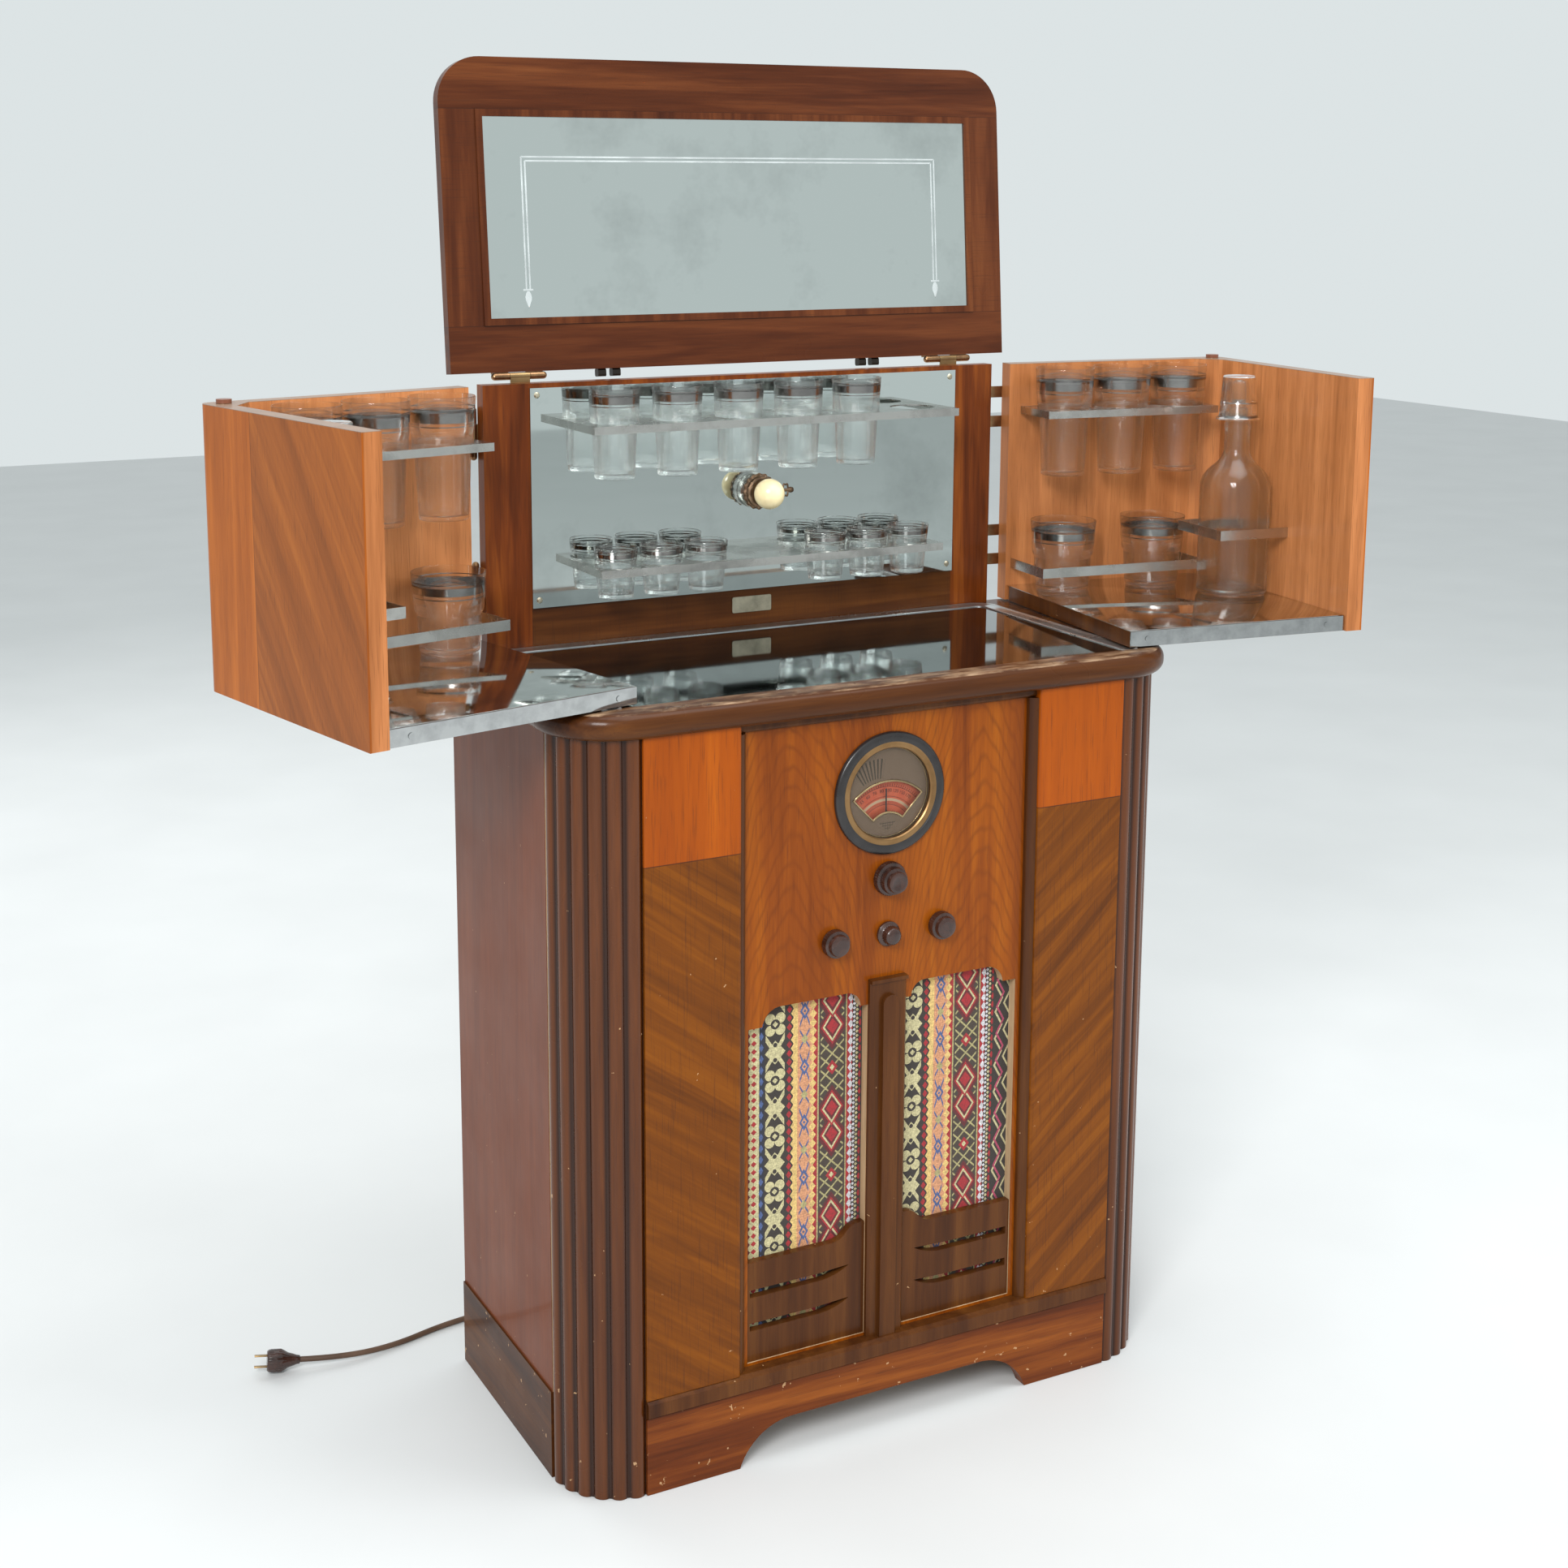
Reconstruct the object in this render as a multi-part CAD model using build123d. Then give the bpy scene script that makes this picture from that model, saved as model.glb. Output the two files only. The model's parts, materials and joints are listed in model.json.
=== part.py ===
from build123d import *
import os
from math import cos, pi, radians, sin, tan

# Console radio with a fold-out bar on top. Millimetres. +X is right along the front,
# -Y is the front, +Z is up. The origin is under the centre of the object's box, on the floor.

# ---------------------------------------------------------------- driving dimensions
CAB_W = 750.0            # cabinet width
CAB_D = 350.0            # cabinet depth
BODY_TOP = 832.0         # underside of the counter
COUNTER_T = 28.0
COUNTER_OVER = 11.0      # overhang of the counter past the front and the sides
COUNTER_BACK = 8.0       # overhang of the counter at the back
TRIM_W = 22.0            # chrome strip round three sides of the counter glass
CORNER_R = 78.0          # reeded quarter columns at the front corners
REEDS = 6
REED_DEPTH = 3.5
REED_GAP = 2.0           # degrees of flat groove between two reeds
COLUMN_WALL = 22.0
BOARD = 15.0             # side boards
PLINTH_H = 100.0         # top of the side plinth
BASE_LINE = 88.0         # top of the front plinth board
BASE_MOULD_H = 21.0
RECESS_HALF = 185.0      # half width of the recessed centre panel
RECESS = 15.0            # depth of the recess
PANEL_T = 12.0           # centre panel thickness
HEADER_H = 10.0

DIAL_Z = 735.0
DIAL_R = 68.0            # outer radius of the dial ring
POINTER_DROP = 49.0      # pointer pivot below the dial centre
TUNING_Z = 640.0
LOWER_KNOB_Z = 577.0
KNOB_PITCH = 67.0
SHAFT_R = 3.15
BUSH_R = 3.20            # running fit round the shafts

GRILLE_OUT = 170.0       # outer edge of a grille opening
GRILLE_IN = 23.0         # inner edge, beside the pilaster
GRILLE_BOTTOM = 112.0
GRILLE_STEP_Z = 496.0
GRILLE_TOP = 516.0
SLOT_H = 9.0             # height of the slots in the boards at the foot of the grille
SPEAKER_Z = 345.0

SHELF_TOP = 545.0        # shelf that carries the chassis
CHASSIS_W = 320.0
CHASSIS_H = 65.0
CHASSIS_Y0 = -90.0
CHASSIS_Y1 = 110.0

BAR_HALF = 335.0         # half width of the closed bar
PANEL_FACE_Y = 163.0     # front face of the back panel
BACK_PANEL_T = 18.0
BAR_TOP = 1160.0
WING_T = 21.0
WING_SIDE = 311.0        # side board of a wing, from its rear edge to the front face
WING_FRONT = 334.0       # front board of a wing, from the outer face to the free edge
WING_GAP = 2.0           # lift of a wing above the counter
SHELF_T = 18.0
WING_CORNER = 16.0       # rounding of the outer front corner
WING_PIVOT = (339.5, 183.0)
LEFT_OPEN = 78.0         # degrees that each wing stands open at rest
RIGHT_OPEN = 83.0

LID_W = 728.0
LID_L = 347.0
LID_T = 20.0
LID_CORNER = 50.0        # rounding of the two free corners
LID_PIVOT_Y = 185.0
LID_PIVOT_Z = 1167.0
LID_OPEN = 94.7          # degrees from closed to leaning back on its stop
LID_HINGE_X = 283.0

CORD_R = 3.25
RELIEF = 24.0            # length of the strain relief behind the chassis

# ---------------------------------------------------------------- worked out from these
FRONT = -CAB_D / 2
BACK = CAB_D / 2
HALF = CAB_W / 2
STILE_OUT = HALF - CORNER_R
CORNER_Y = FRONT + CORNER_R
PANEL_Y = FRONT + RECESS
PANEL_BACK = PANEL_Y + PANEL_T
CLOTH_T = 1.0
BAFFLE_T = 12.0
BAFFLE_Y = PANEL_BACK + CLOTH_T
COUNTER_TOP = BODY_TOP + COUNTER_T
BASE_TOP = BASE_LINE + BASE_MOULD_H
WING_Z = COUNTER_TOP + WING_GAP
SHELF_Z = WING_Z + SHELF_T
CHASSIS_Z = SHELF_TOP + CHASSIS_H
MIRROR_T = 3.0
MIRROR_Y = PANEL_FACE_Y - MIRROR_T
LID_Z = LID_PIVOT_Z - 1.5


# ---------------------------------------------------------------- helpers
def block(x0, x1, y0, y1, z0, z1):
    """A box between two corners."""
    size = (x1 - x0, y1 - y0, z1 - z0)
    return Pos((x0 + x1) / 2, (y0 + y1) / 2, (z0 + z1) / 2) * Box(*size)


def rod_y(x, z, r, y0, y1):
    """A cylinder along Y."""
    return Pos(x, (y0 + y1) / 2, z) * Rot(90, 0, 0) * Cylinder(r, y1 - y0)


def rod_x(y, z, r, x0, x1):
    """A cylinder along X."""
    return Pos((x0 + x1) / 2, y, z) * Rot(0, 90, 0) * Cylinder(r, x1 - x0)


def rod_z(x, y, r, z0, z1):
    """A cylinder along Z."""
    return Pos(x, y, (z0 + z1) / 2) * Cylinder(r, z1 - z0)


def board_xz(face, y0, thickness):
    """A flat outline drawn in X and Z, made solid from y0 towards the back."""
    return extrude(Plane.XZ.offset(-y0) * face, -thickness)


def outline(*edges):
    """A face inside a closed run of edges."""
    return make_face(Curve() + list(edges))


def lines(*points):
    """The edges of an open run of straight lines."""
    return [Line(a, b) for a, b in zip(points, points[1:])]


def turned_y(points, x, y, z):
    """A solid turned about an axis along Y; points are (radius, distance towards the back)."""
    profile = make_face(Polyline(*points, close=True))
    solid = revolve(Plane.XY * profile, Axis.Y)
    return Pos(x, y, z) * solid


def turned_z(points, x, y, z):
    """A solid turned about a vertical axis; points are (radius, height)."""
    profile = make_face(Polyline(*points, close=True))
    solid = revolve(Plane.XZ * profile, Axis.Z)
    return Pos(x, y, z) * solid


def both(solid):
    """A solid and its mirror image across the middle of the cabinet."""
    return [solid, mirror(solid, Plane.YZ)]


parts = {}


def add(name, *solids):
    """Keeps the separate solids of one node."""
    kept = []
    for item in solids:
        kept += item if isinstance(item, list) else [item]
    parts.setdefault(name, []).extend(kept)


# ---------------------------------------------------------------- cabinet
def reeded_column(x):
    """A quarter column of reeds and narrow grooves, at the front left corner."""
    crown, groove, inner = CORNER_R, CORNER_R - REED_DEPTH, CORNER_R - COLUMN_WALL
    step = 90 / REEDS
    gap = REED_GAP / 2

    def at(r, deg):
        a = radians(180 + deg)
        return (x + r * cos(a), CORNER_Y + r * sin(a))

    edges = [Line(at(inner, 0), at(groove, 0))]
    for k in range(REEDS):
        lo, hi = k * step, (k + 1) * step
        edges += lines(at(groove, lo), at(groove, lo + gap))
        edges.append(ThreePointArc(at(groove, lo + gap), at(crown, (lo + hi) / 2), at(groove, hi - gap)))
        edges += lines(at(groove, hi - gap), at(groove, hi))
    edges.append(Line(at(groove, 90), at(inner, 90)))
    edges.append(ThreePointArc(at(inner, 90), at(inner, 45), at(inner, 0)))
    return extrude(outline(*edges), BODY_TOP)


def cabinet():
    side = block(-HALF + 2, -HALF + 2 + BOARD, CORNER_Y, BACK, PLINTH_H, BODY_TOP)
    add("side_panels", both(side))
    add("reeded_corners", both(reeded_column(-STILE_OUT)))

    stile = block(-STILE_OUT, -RECESS_HALF, FRONT, FRONT + 18, BASE_TOP, BODY_TOP)
    edge = stile.edges().filter_by(Axis.Z).sort_by(Axis.Y)[:2].sort_by(Axis.X)[-1]
    add("front_stiles", both(fillet(edge, 4)))

    toe = block(-HALF, -HALF + BOARD + 2, CORNER_Y, BACK, 0, PLINTH_H)
    add("plinth", front_plinth(), both(toe))

    bottom = block(-HALF + 17, HALF - 17, CORNER_Y + 4, BACK - 6, 70, 85)
    shelf = block(-HALF + 17, HALF - 17, CORNER_Y + 4, BACK - 6, SHELF_TOP - 15, SHELF_TOP)
    rail = block(-HALF + 17, HALF - 17, BACK - 24, BACK - 6, BODY_TOP - 45, BODY_TOP)
    add("inner_shelves", bottom, shelf, rail)


def front_plinth():
    """The front plinth board, cut away in a long low arch with coved ends."""
    foot, crown, height = 186.0, 124.0, 46.0
    cove_x, cove_z = foot - 0.3 * (foot - crown), 0.62 * height
    rise = [
        Line((-STILE_OUT, 0), (-foot, 0)),
        ThreePointArc((-foot, 0), (-cove_x, cove_z), (-crown, height)),
        Line((-crown, height), (crown, height)),
        ThreePointArc((crown, height), (cove_x, cove_z), (foot, 0)),
        Line((foot, 0), (STILE_OUT, 0)),
    ]
    top = lines((STILE_OUT, 0), (STILE_OUT, BASE_LINE), (-STILE_OUT, BASE_LINE), (-STILE_OUT, 0))
    return board_xz(outline(*rise, *top), FRONT, 18)


def grille_opening(side):
    """The outline of one grille opening; side is +1 on the right."""
    out, step, knee = GRILLE_OUT * side, 153 * side, 129 * side
    near, shoulder, edge = 50 * side, 32 * side, GRILLE_IN * side
    return outline(
        *lines((edge, GRILLE_BOTTOM), (out, GRILLE_BOTTOM), (out, GRILLE_STEP_Z), (step, GRILLE_STEP_Z)),
        ThreePointArc((step, GRILLE_STEP_Z), (146 * side, 510), (knee, GRILLE_TOP)),
        Line((knee, GRILLE_TOP), (near, GRILLE_TOP)),
        ThreePointArc((near, GRILLE_TOP), (37.3 * side, 511), (shoulder, 499)),
        *lines((shoulder, 499), (edge, 499), (edge, GRILLE_BOTTOM)),
    )


def control_panel():
    panel = block(-RECESS_HALF, RECESS_HALF, PANEL_Y, PANEL_BACK, BASE_TOP, BODY_TOP)
    for side in (-1, 1):
        panel -= board_xz(grille_opening(side), PANEL_Y - 1, PANEL_T + 2)
    panel -= rod_y(0, DIAL_Z, 56, PANEL_Y - 1, PANEL_BACK + 1)
    panel -= rod_y(0, TUNING_Z, 8, PANEL_Y - 1, PANEL_BACK + 1)
    for k in (-1, 0, 1):
        panel -= rod_y(k * KNOB_PITCH, LOWER_KNOB_Z, 6, PANEL_Y - 1, PANEL_BACK + 1)
    add("control_panel", panel)


def slotted_board(side):
    """The board that closes the foot of a grille opening, with two crescent slots."""
    top, rise = 228.0, 245.0
    lift = (top + rise) / 2
    face = outline(
        *lines((30 * side, rise), (GRILLE_IN * side, rise), (GRILLE_IN * side, GRILLE_BOTTOM)),
        *lines((GRILLE_IN * side, GRILLE_BOTTOM), (GRILLE_OUT * side, GRILLE_BOTTOM)),
        *lines((GRILLE_OUT * side, GRILLE_BOTTOM), (GRILLE_OUT * side, top), (64 * side, top)),
        ThreePointArc((64 * side, top), (54 * side, top + 2.5), (47 * side, lift)),
        ThreePointArc((47 * side, lift), (40 * side, rise - 2.5), (30 * side, rise)),
    )
    board = board_xz(face, PANEL_Y + 2, PANEL_T - 3)
    for z in (148.0, 187.0):
        slot = outline(
            *lines((166 * side, z), (84 * side, z)),
            ThreePointArc((84 * side, z), (60 * side, z + 3), (42 * side, z + 11)),
            *lines((42 * side, z + 11), (84 * side, z + SLOT_H), (166 * side, z + SLOT_H), (166 * side, z)),
        )
        board -= board_xz(slot, PANEL_Y, PANEL_T)
    return board


def front_trim():
    strip = outline(
        *lines((RECESS_HALF, PANEL_Y), (RECESS_HALF - 9, PANEL_Y), (RECESS_HALF - 9, PANEL_Y - 4)),
        ThreePointArc(
            (RECESS_HALF - 9, PANEL_Y - 4),
            (RECESS_HALF - 5.6, PANEL_Y - 8.6),
            (RECESS_HALF, PANEL_Y - 11),
        ),
        *lines((RECESS_HALF, PANEL_Y - 11), (RECESS_HALF, PANEL_Y)),
    )
    strip = Pos(0, 0, BASE_TOP) * extrude(strip, BODY_TOP - HEADER_H - BASE_TOP)
    header = block(-RECESS_HALF, RECESS_HALF, PANEL_Y - 6, PANEL_Y, BODY_TOP - HEADER_H, BODY_TOP)
    header = fillet(header.edges().filter_by(Axis.X).sort_by(Axis.Y)[:2].sort_by(Axis.Z)[0], 4)
    base = block(-STILE_OUT, STILE_OUT, FRONT - 4, PANEL_BACK, BASE_LINE, BASE_TOP)
    base = chamfer(base.edges().filter_by(Axis.X).group_by(Axis.Y)[0], 3, 6)
    add("front_mouldings", both(strip), header, base)

    post = block(-GRILLE_IN, GRILLE_IN, PANEL_Y - 7, PANEL_Y, BASE_TOP, 524)
    post = chamfer(post.edges().filter_by(Axis.Z).group_by(Axis.Y)[0], 3)
    rib = block(-10, 10, PANEL_Y - 12, PANEL_Y - 7, BASE_TOP, 500)
    rib += rod_y(0, 500, 10, PANEL_Y - 12, PANEL_Y - 7)
    cap = block(-GRILLE_IN, GRILLE_IN, PANEL_Y - 9, PANEL_Y, 524, 528)
    add("front_mouldings", post + rib + cap)
    add("lower_grille", slotted_board(-1), slotted_board(1))


def speaker():
    add("grille_cloth", block(-176, 176, PANEL_BACK, PANEL_BACK + CLOTH_T, 110, 522))
    baffle = block(-184, 184, BAFFLE_Y, BAFFLE_Y + BAFFLE_T, 109, 524)
    baffle -= rod_y(0, SPEAKER_Z, 113, BAFFLE_Y - 1, BAFFLE_Y + BAFFLE_T + 1)
    add("speaker_baffle", baffle)

    y = BAFFLE_Y + BAFFLE_T
    rim, depth, wall = 127.0, 70.0, 1.6
    basket = turned_y(
        [(113, 0), (rim, 0), (rim, 2.5), (116, 2.5), (50, depth), (30, depth), (30, depth - wall),
         (48.8, depth - wall), (114, 1.5)], 0, y, SPEAKER_Z)
    for k in range(4):
        window = Rot(0, 45 + 90 * k, 0) * block(62, 100, 14, 56, -26, 26)
        basket -= Pos(0, y, SPEAKER_Z) * window
    add("speaker_frame", basket)
    cone = turned_y(
        [(101, 0), (112, -1), (112, -2.2), (100, -1.2), (27, 62), (28, 62.8)],
        0, y, SPEAKER_Z)
    add("speaker_cone", cone)
    pot = turned_y([(0, depth), (42, depth), (42, depth + 58), (0, depth + 58)], 0, y, SPEAKER_Z)
    yoke = block(-52, 52, y + depth + 58, y + depth + 66, SPEAKER_Z - 34, SPEAKER_Z + 34)
    add("field_coil", pot + yoke)


# ---------------------------------------------------------------- receiver
def dial():
    ring_y = PANEL_Y
    ring = turned_y(
        [(50, -3), (51.5, -4.5), (57, -4.5), (58, -5.5), (65.5, -5.5), (DIAL_R, -3.5), (DIAL_R, 0),
         (56.5, 0), (50, 0)], 0, ring_y, DIAL_Z)
    add("dial_ring", ring)
    add("dial_glass", rod_y(0, DIAL_Z, 53, ring_y + 0.1, ring_y + 1.7))

    pivot_z = DIAL_Z - POINTER_DROP
    outer, inner, half = 61.0, 27.0, 43.5

    def at(r, deg):
        return (r * sin(radians(deg)), pivot_z + r * cos(radians(deg)))

    window = outline(
        ThreePointArc(at(outer, -half), at(outer, 0), at(outer, half)),
        Line(at(outer, half), at(inner, half)),
        ThreePointArc(at(inner, half), at(inner, 0), at(inner, -half)),
        Line(at(inner, -half), at(outer, -half)),
    )
    face = rod_y(0, DIAL_Z, 54.5, ring_y + 2.6, ring_y + 3.4)
    face -= board_xz(window, ring_y + 2, 2)
    scale = rod_y(0, DIAL_Z, 54.5, ring_y + 8.2, ring_y + 9)
    scale -= rod_y(0, pivot_z, BUSH_R - 1.2, ring_y + 8, ring_y + 10)
    wall = rod_y(0, DIAL_Z, 55.7, ring_y + 1.8, ring_y + 9)
    wall -= rod_y(0, DIAL_Z, 54.5, ring_y + 1, ring_y + 10)
    add("dial_plate", face, scale, wall)

    y = ring_y + 5.4
    arm = block(-0.7, 0.7, y, y + 0.8, pivot_z, pivot_z + 52)
    boss = rod_y(0, pivot_z, 4, y, y + 1.6)
    shaft = rod_y(0, pivot_z, BUSH_R - 1.25, y, ring_y + 26)
    pulley = rod_y(0, pivot_z, 14, ring_y + 16, ring_y + 21)
    pulley -= turned_y([(15, 0), (12, 2.5), (15, 5)], 0, ring_y + 16, pivot_z)
    add("dial_pointer", arm + boss + shaft + pulley)


def knob(x, z, r, length, steps, tail):
    """A turned knob with its shaft; steps are (radius share, distance from the panel)."""
    clear, rim = 1.0, 0.8
    points = [(0, -clear), (r - rim, -clear), (r, -clear - rim)]
    for share, out in steps:
        points += [(r * share, -out), (r * share - rim, -out - rim)]
    points += [(0, -length)]
    body = turned_y(points, x, PANEL_Y, z)
    return body + rod_y(x, z, SHAFT_R, PANEL_Y - 2, tail)


def controls():
    tuned = CHASSIS_Y0 + 2
    add("tuning_knob", knob(0, TUNING_Z, 19, 24, ((1, 8), (0.8, 9), (0.8, 17), (0.62, 18)), tuned - 18))
    plain = ((1, 10), (0.78, 11))
    tail = CHASSIS_Y0 - 4
    for name, k in (("volume_knob", -1), ("tone_knob", 0), ("band_knob", 1)):
        steps = plain if k else ((1, 4), (0.72, 6))
        add(name, knob(k * KNOB_PITCH, LOWER_KNOB_Z, 14 if k == 0 else 15.5, 17, steps, tail))
        can = rod_y(k * KNOB_PITCH, LOWER_KNOB_Z, 14, CHASSIS_Y0 - 13, CHASSIS_Y0)
        bush = rod_y(k * KNOB_PITCH, LOWER_KNOB_Z, 4.75, CHASSIS_Y0 - 22, CHASSIS_Y0 - 13)
        bore = rod_y(k * KNOB_PITCH, LOWER_KNOB_Z, BUSH_R, CHASSIS_Y0 - 23, CHASSIS_Y0 - 3)
        add("control_bodies", (can + bush) - bore)
    drum = rod_y(0, TUNING_Z, 18, tuned - 28, tuned - 8)
    foot = block(-9, 9, tuned - 24, tuned - 12, LOWER_KNOB_Z + 33, TUNING_Z)
    drive = (drum + foot) - rod_y(0, TUNING_Z, BUSH_R, tuned - 30, tuned - 17)
    drive -= rod_y(0, TUNING_Z, BUSH_R, tuned - 13, tuned)
    add("control_bodies", drive)


def tuning_capacitor():
    y0, y1 = CHASSIS_Y0 + 14, 30.0
    half, top, foot = 34.0, TUNING_Z + 36, CHASSIS_Z
    frame = block(-half, half, y0, y0 + 2.5, foot, top)
    frame += block(-half, half, y1 - 2.5, y1, foot, top)
    frame += block(-half, half, y0, y1, foot, foot + 2.5)
    for side in (-1, 1):
        frame += rod_y(side * 30, top - 5, 2.5, y0, y1)
    frame -= rod_y(0, TUNING_Z, BUSH_R, y0 - 1, y0 + 4)
    frame -= rod_y(0, TUNING_Z, BUSH_R, y1 - 4, y1 + 1)
    pitch, plates = 9.0, 9
    first = y0 + 12
    for k in range(plates):
        plate = block(9, 33, first + k * pitch, first + k * pitch + 1.4, TUNING_Z - 26, TUNING_Z + 26)
        frame += plate
    frame += block(31, 33, first, first + (plates - 1) * pitch + 1.4, TUNING_Z - 5, TUNING_Z + 5)
    frame += block(26, 33, first, first + (plates - 1) * pitch + 1.4, foot, TUNING_Z - 24)
    add("capacitor_frame", frame)

    rotor = rod_y(0, TUNING_Z, SHAFT_R, CHASSIS_Y0 - 11, y1)
    for k in range(plates - 1):
        y = first + (k + 0.5) * pitch
        disc = rod_y(0, TUNING_Z, 25, y, y + 1.4)
        disc -= block(-30, 30, y - 1, y + 3, TUNING_Z - 30, TUNING_Z)
        rotor += disc
    add("capacitor_rotor", rotor)


def receiver():
    shell = block(-CHASSIS_W / 2, CHASSIS_W / 2, CHASSIS_Y0, CHASSIS_Y1, SHELF_TOP, CHASSIS_Z)
    hollow = block(-CHASSIS_W / 2 + 1.6, CHASSIS_W / 2 - 1.6, CHASSIS_Y0 + 1.6, CHASSIS_Y1 - 1.6,
                   SHELF_TOP - 1, CHASSIS_Z - 1.6)
    add("chassis", shell - hollow - rod_y(CORD_X, CORD_Z, 7, CHASSIS_Y1 - 4, CHASSIS_Y1 + 1))

    core = block(-148, -78, 20, 92, CHASSIS_Z, CHASSIS_Z + 58)
    bells = block(-140, -86, 12, 100, CHASSIS_Z, CHASSIS_Z + 76)
    add("power_transformer", core + fillet(bells.edges().filter_by(Axis.Z), 8))

    envelope = [(0, 0), (16, 0), (16, 26), (22, 40), (22, 58), (11, 84), (11, 96), (5, 102), (0, 102)]
    for x, y in ((-120, -40), (-70, -55), (70, 70), (120, 40), (-40, 72)):
        add("radio_tubes", turned_z(envelope, x, y, CHASSIS_Z))
    for x, y, r, h in ((70, -30, 17, 88), (70, 18, 17, 88), (118, -52, 19, 96), (118, -8, 17, 88)):
        can = rod_z(x, y, r, CHASSIS_Z, CHASSIS_Z + h)
        add("shield_cans", fillet(can.edges().group_by(Axis.Z)[-1], 3))

    strip = block(40, 110, CHASSIS_Y1, CHASSIS_Y1 + 3, SHELF_TOP + 20, SHELF_TOP + 44)
    for k in range(3):
        strip += rod_y(54 + 21 * k, SHELF_TOP + 32, 4, CHASSIS_Y1 + 3, CHASSIS_Y1 + 9)
    grommet = turned_y(
        [(CORD_R, -3.6), (9.5, -3.6), (9.5, -1.8), (6.9, -1.8), (6.9, 0), (9.5, 0), (9.5, 3),
         (4.6, RELIEF), (CORD_R, RELIEF)], CORD_X, CHASSIS_Y1, CORD_Z)
    add("rear_terminals", strip, grommet)


# ---------------------------------------------------------------- counter and back of the bar
def counter():
    x, y0, y1 = HALF + COUNTER_OVER, FRONT - COUNTER_OVER, BACK + COUNTER_BACK
    slab = block(-x, x, y0, y1, BODY_TOP, COUNTER_TOP)
    slab = fillet(slab.edges().filter_by(Axis.Z).group_by(Axis.Y)[0], CORNER_R + 6)
    slab = fillet(slab.edges().filter_by(Axis.Z).group_by(Axis.Y)[-1], 6)
    rims = slab.faces().sort_by(Axis.Z)
    edges = [e for f in (rims[0], rims[-1]) for e in f.edges() if e.center().Y < y1 - 8]
    slab = fillet(edges, 12.5)
    well = block(-322, 322, -150, 151, COUNTER_TOP - 3, COUNTER_TOP + 1)
    slab -= well
    chrome_bed = chrome_outline()
    slab -= Pos(0, 0, COUNTER_TOP - 3) * extrude(chrome_bed, 5)
    add("counter_top", slab)
    add("counter_glass", block(-322, 322, -150, 151, COUNTER_TOP - 3, COUNTER_TOP) - Pos(
        0, 0, COUNTER_TOP - 4) * extrude(chrome_bed, 6))
    add("chrome_trim", Pos(0, 0, COUNTER_TOP - 3) * extrude(chrome_bed, 4.5))


def chrome_outline():
    """The U of chrome strip round the sides and back of the counter glass."""
    x, y, wide, r = 332.0, 161.0, TRIM_W, 30.0
    outer = block(-x, x, -152, y, 0, 1)
    outer = fillet(outer.edges().filter_by(Axis.Z).group_by(Axis.Y)[-1], r)
    inner = block(-x + wide, x - wide, -160, y - wide, -1, 2)
    inner = fillet(inner.edges().filter_by(Axis.Z).group_by(Axis.Y)[-1], r - wide)
    return (outer - inner).faces().sort_by(Axis.Z)[0]


def rack(x0, x1, y0, y1, z, holes, r):
    """A folded sheet rack with round holes and a turned-down front lip; y1 is the wall side."""
    sheet, lip = 1.5, 9.0
    plate = block(x0, x1, y0, y1, z - sheet, z)
    plate += block(x0, x1, y0, y0 + sheet, z - lip, z)
    plate += block(x0, x0 + sheet, y0, y1, z - lip, z)
    plate += block(x1 - sheet, x1, y0, y1, z - lip, z)
    for x, y in holes:
        plate -= rod_z(x, y, r, z - lip - 1, z + 1)
    return plate


def bar_back():
    """The upright back of the bar: mirror, two glass racks, blank plate, screws and lamp."""
    panel = block(-BAR_HALF, BAR_HALF, PANEL_FACE_Y, PANEL_FACE_Y + BACK_PANEL_T, COUNTER_TOP, BAR_TOP)
    add("back_panel", panel)
    add("back_mirror", block(-280, 280, MIRROR_Y, PANEL_FACE_Y, 905, 1155))
    upper = [(x, 121) for x in (-195, -117, -39, 39, 117, 195)]
    lower = [(x, 125) for x in (-193, -136, -79, 79, 136, 193)]
    add("upper_glass_rack", rack(-236, 236, 82, MIRROR_Y, 1117, upper, 27))
    add("lower_glass_rack", rack(-224, 224, 93, MIRROR_Y, 954, lower, 24.3))

    plate = block(-26, 26, PANEL_FACE_Y - 1.5, PANEL_FACE_Y, 877, 896)
    add("fastenings", fillet(plate.edges().filter_by(Axis.Y), 2))
    for x in (-272, 272):
        for z in (914, 1147):
            add("fastenings", screw_head(x, MIRROR_Y, z))

    socket = turned_y([(0, -13), (19, -13), (21, -10), (21, 0), (0, 0)], 0, MIRROR_Y, 1024)
    ring = turned_y(
        [(0, -13), (21, -13), (21, -16), (18.5, -22), (16.5, -26), (0, -26)], 0, MIRROR_Y, 1024)
    key_bush = rod_x(MIRROR_Y - 20, 1024, 6, 0, 26) - rod_x(MIRROR_Y - 20, 1024, 2.05, 12, 27)
    add("lamp_socket", (socket + ring + key_bush) - rod_x(MIRROR_Y - 20, 1024, 2.05, 12, 27))
    globe = Pos(0, MIRROR_Y - 41, 1024) * Sphere(18)
    globe -= block(-20, 20, MIRROR_Y - 26, MIRROR_Y, 1000, 1050)
    add("lamp_globe", globe)
    key = rod_x(MIRROR_Y - 20, 1024, 2, 14, 38)
    key += Pos(33, MIRROR_Y - 20, 1024) * Box(9, 3, 15)
    key += Pos(40, MIRROR_Y - 20, 1024) * Sphere(3.5)
    add("lamp_key", key)


def screw_head(x, y, z):
    return turned_y([(0, -2), (2.2, -1.8), (3.6, 0), (0, 0)], x, y, z)


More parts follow.
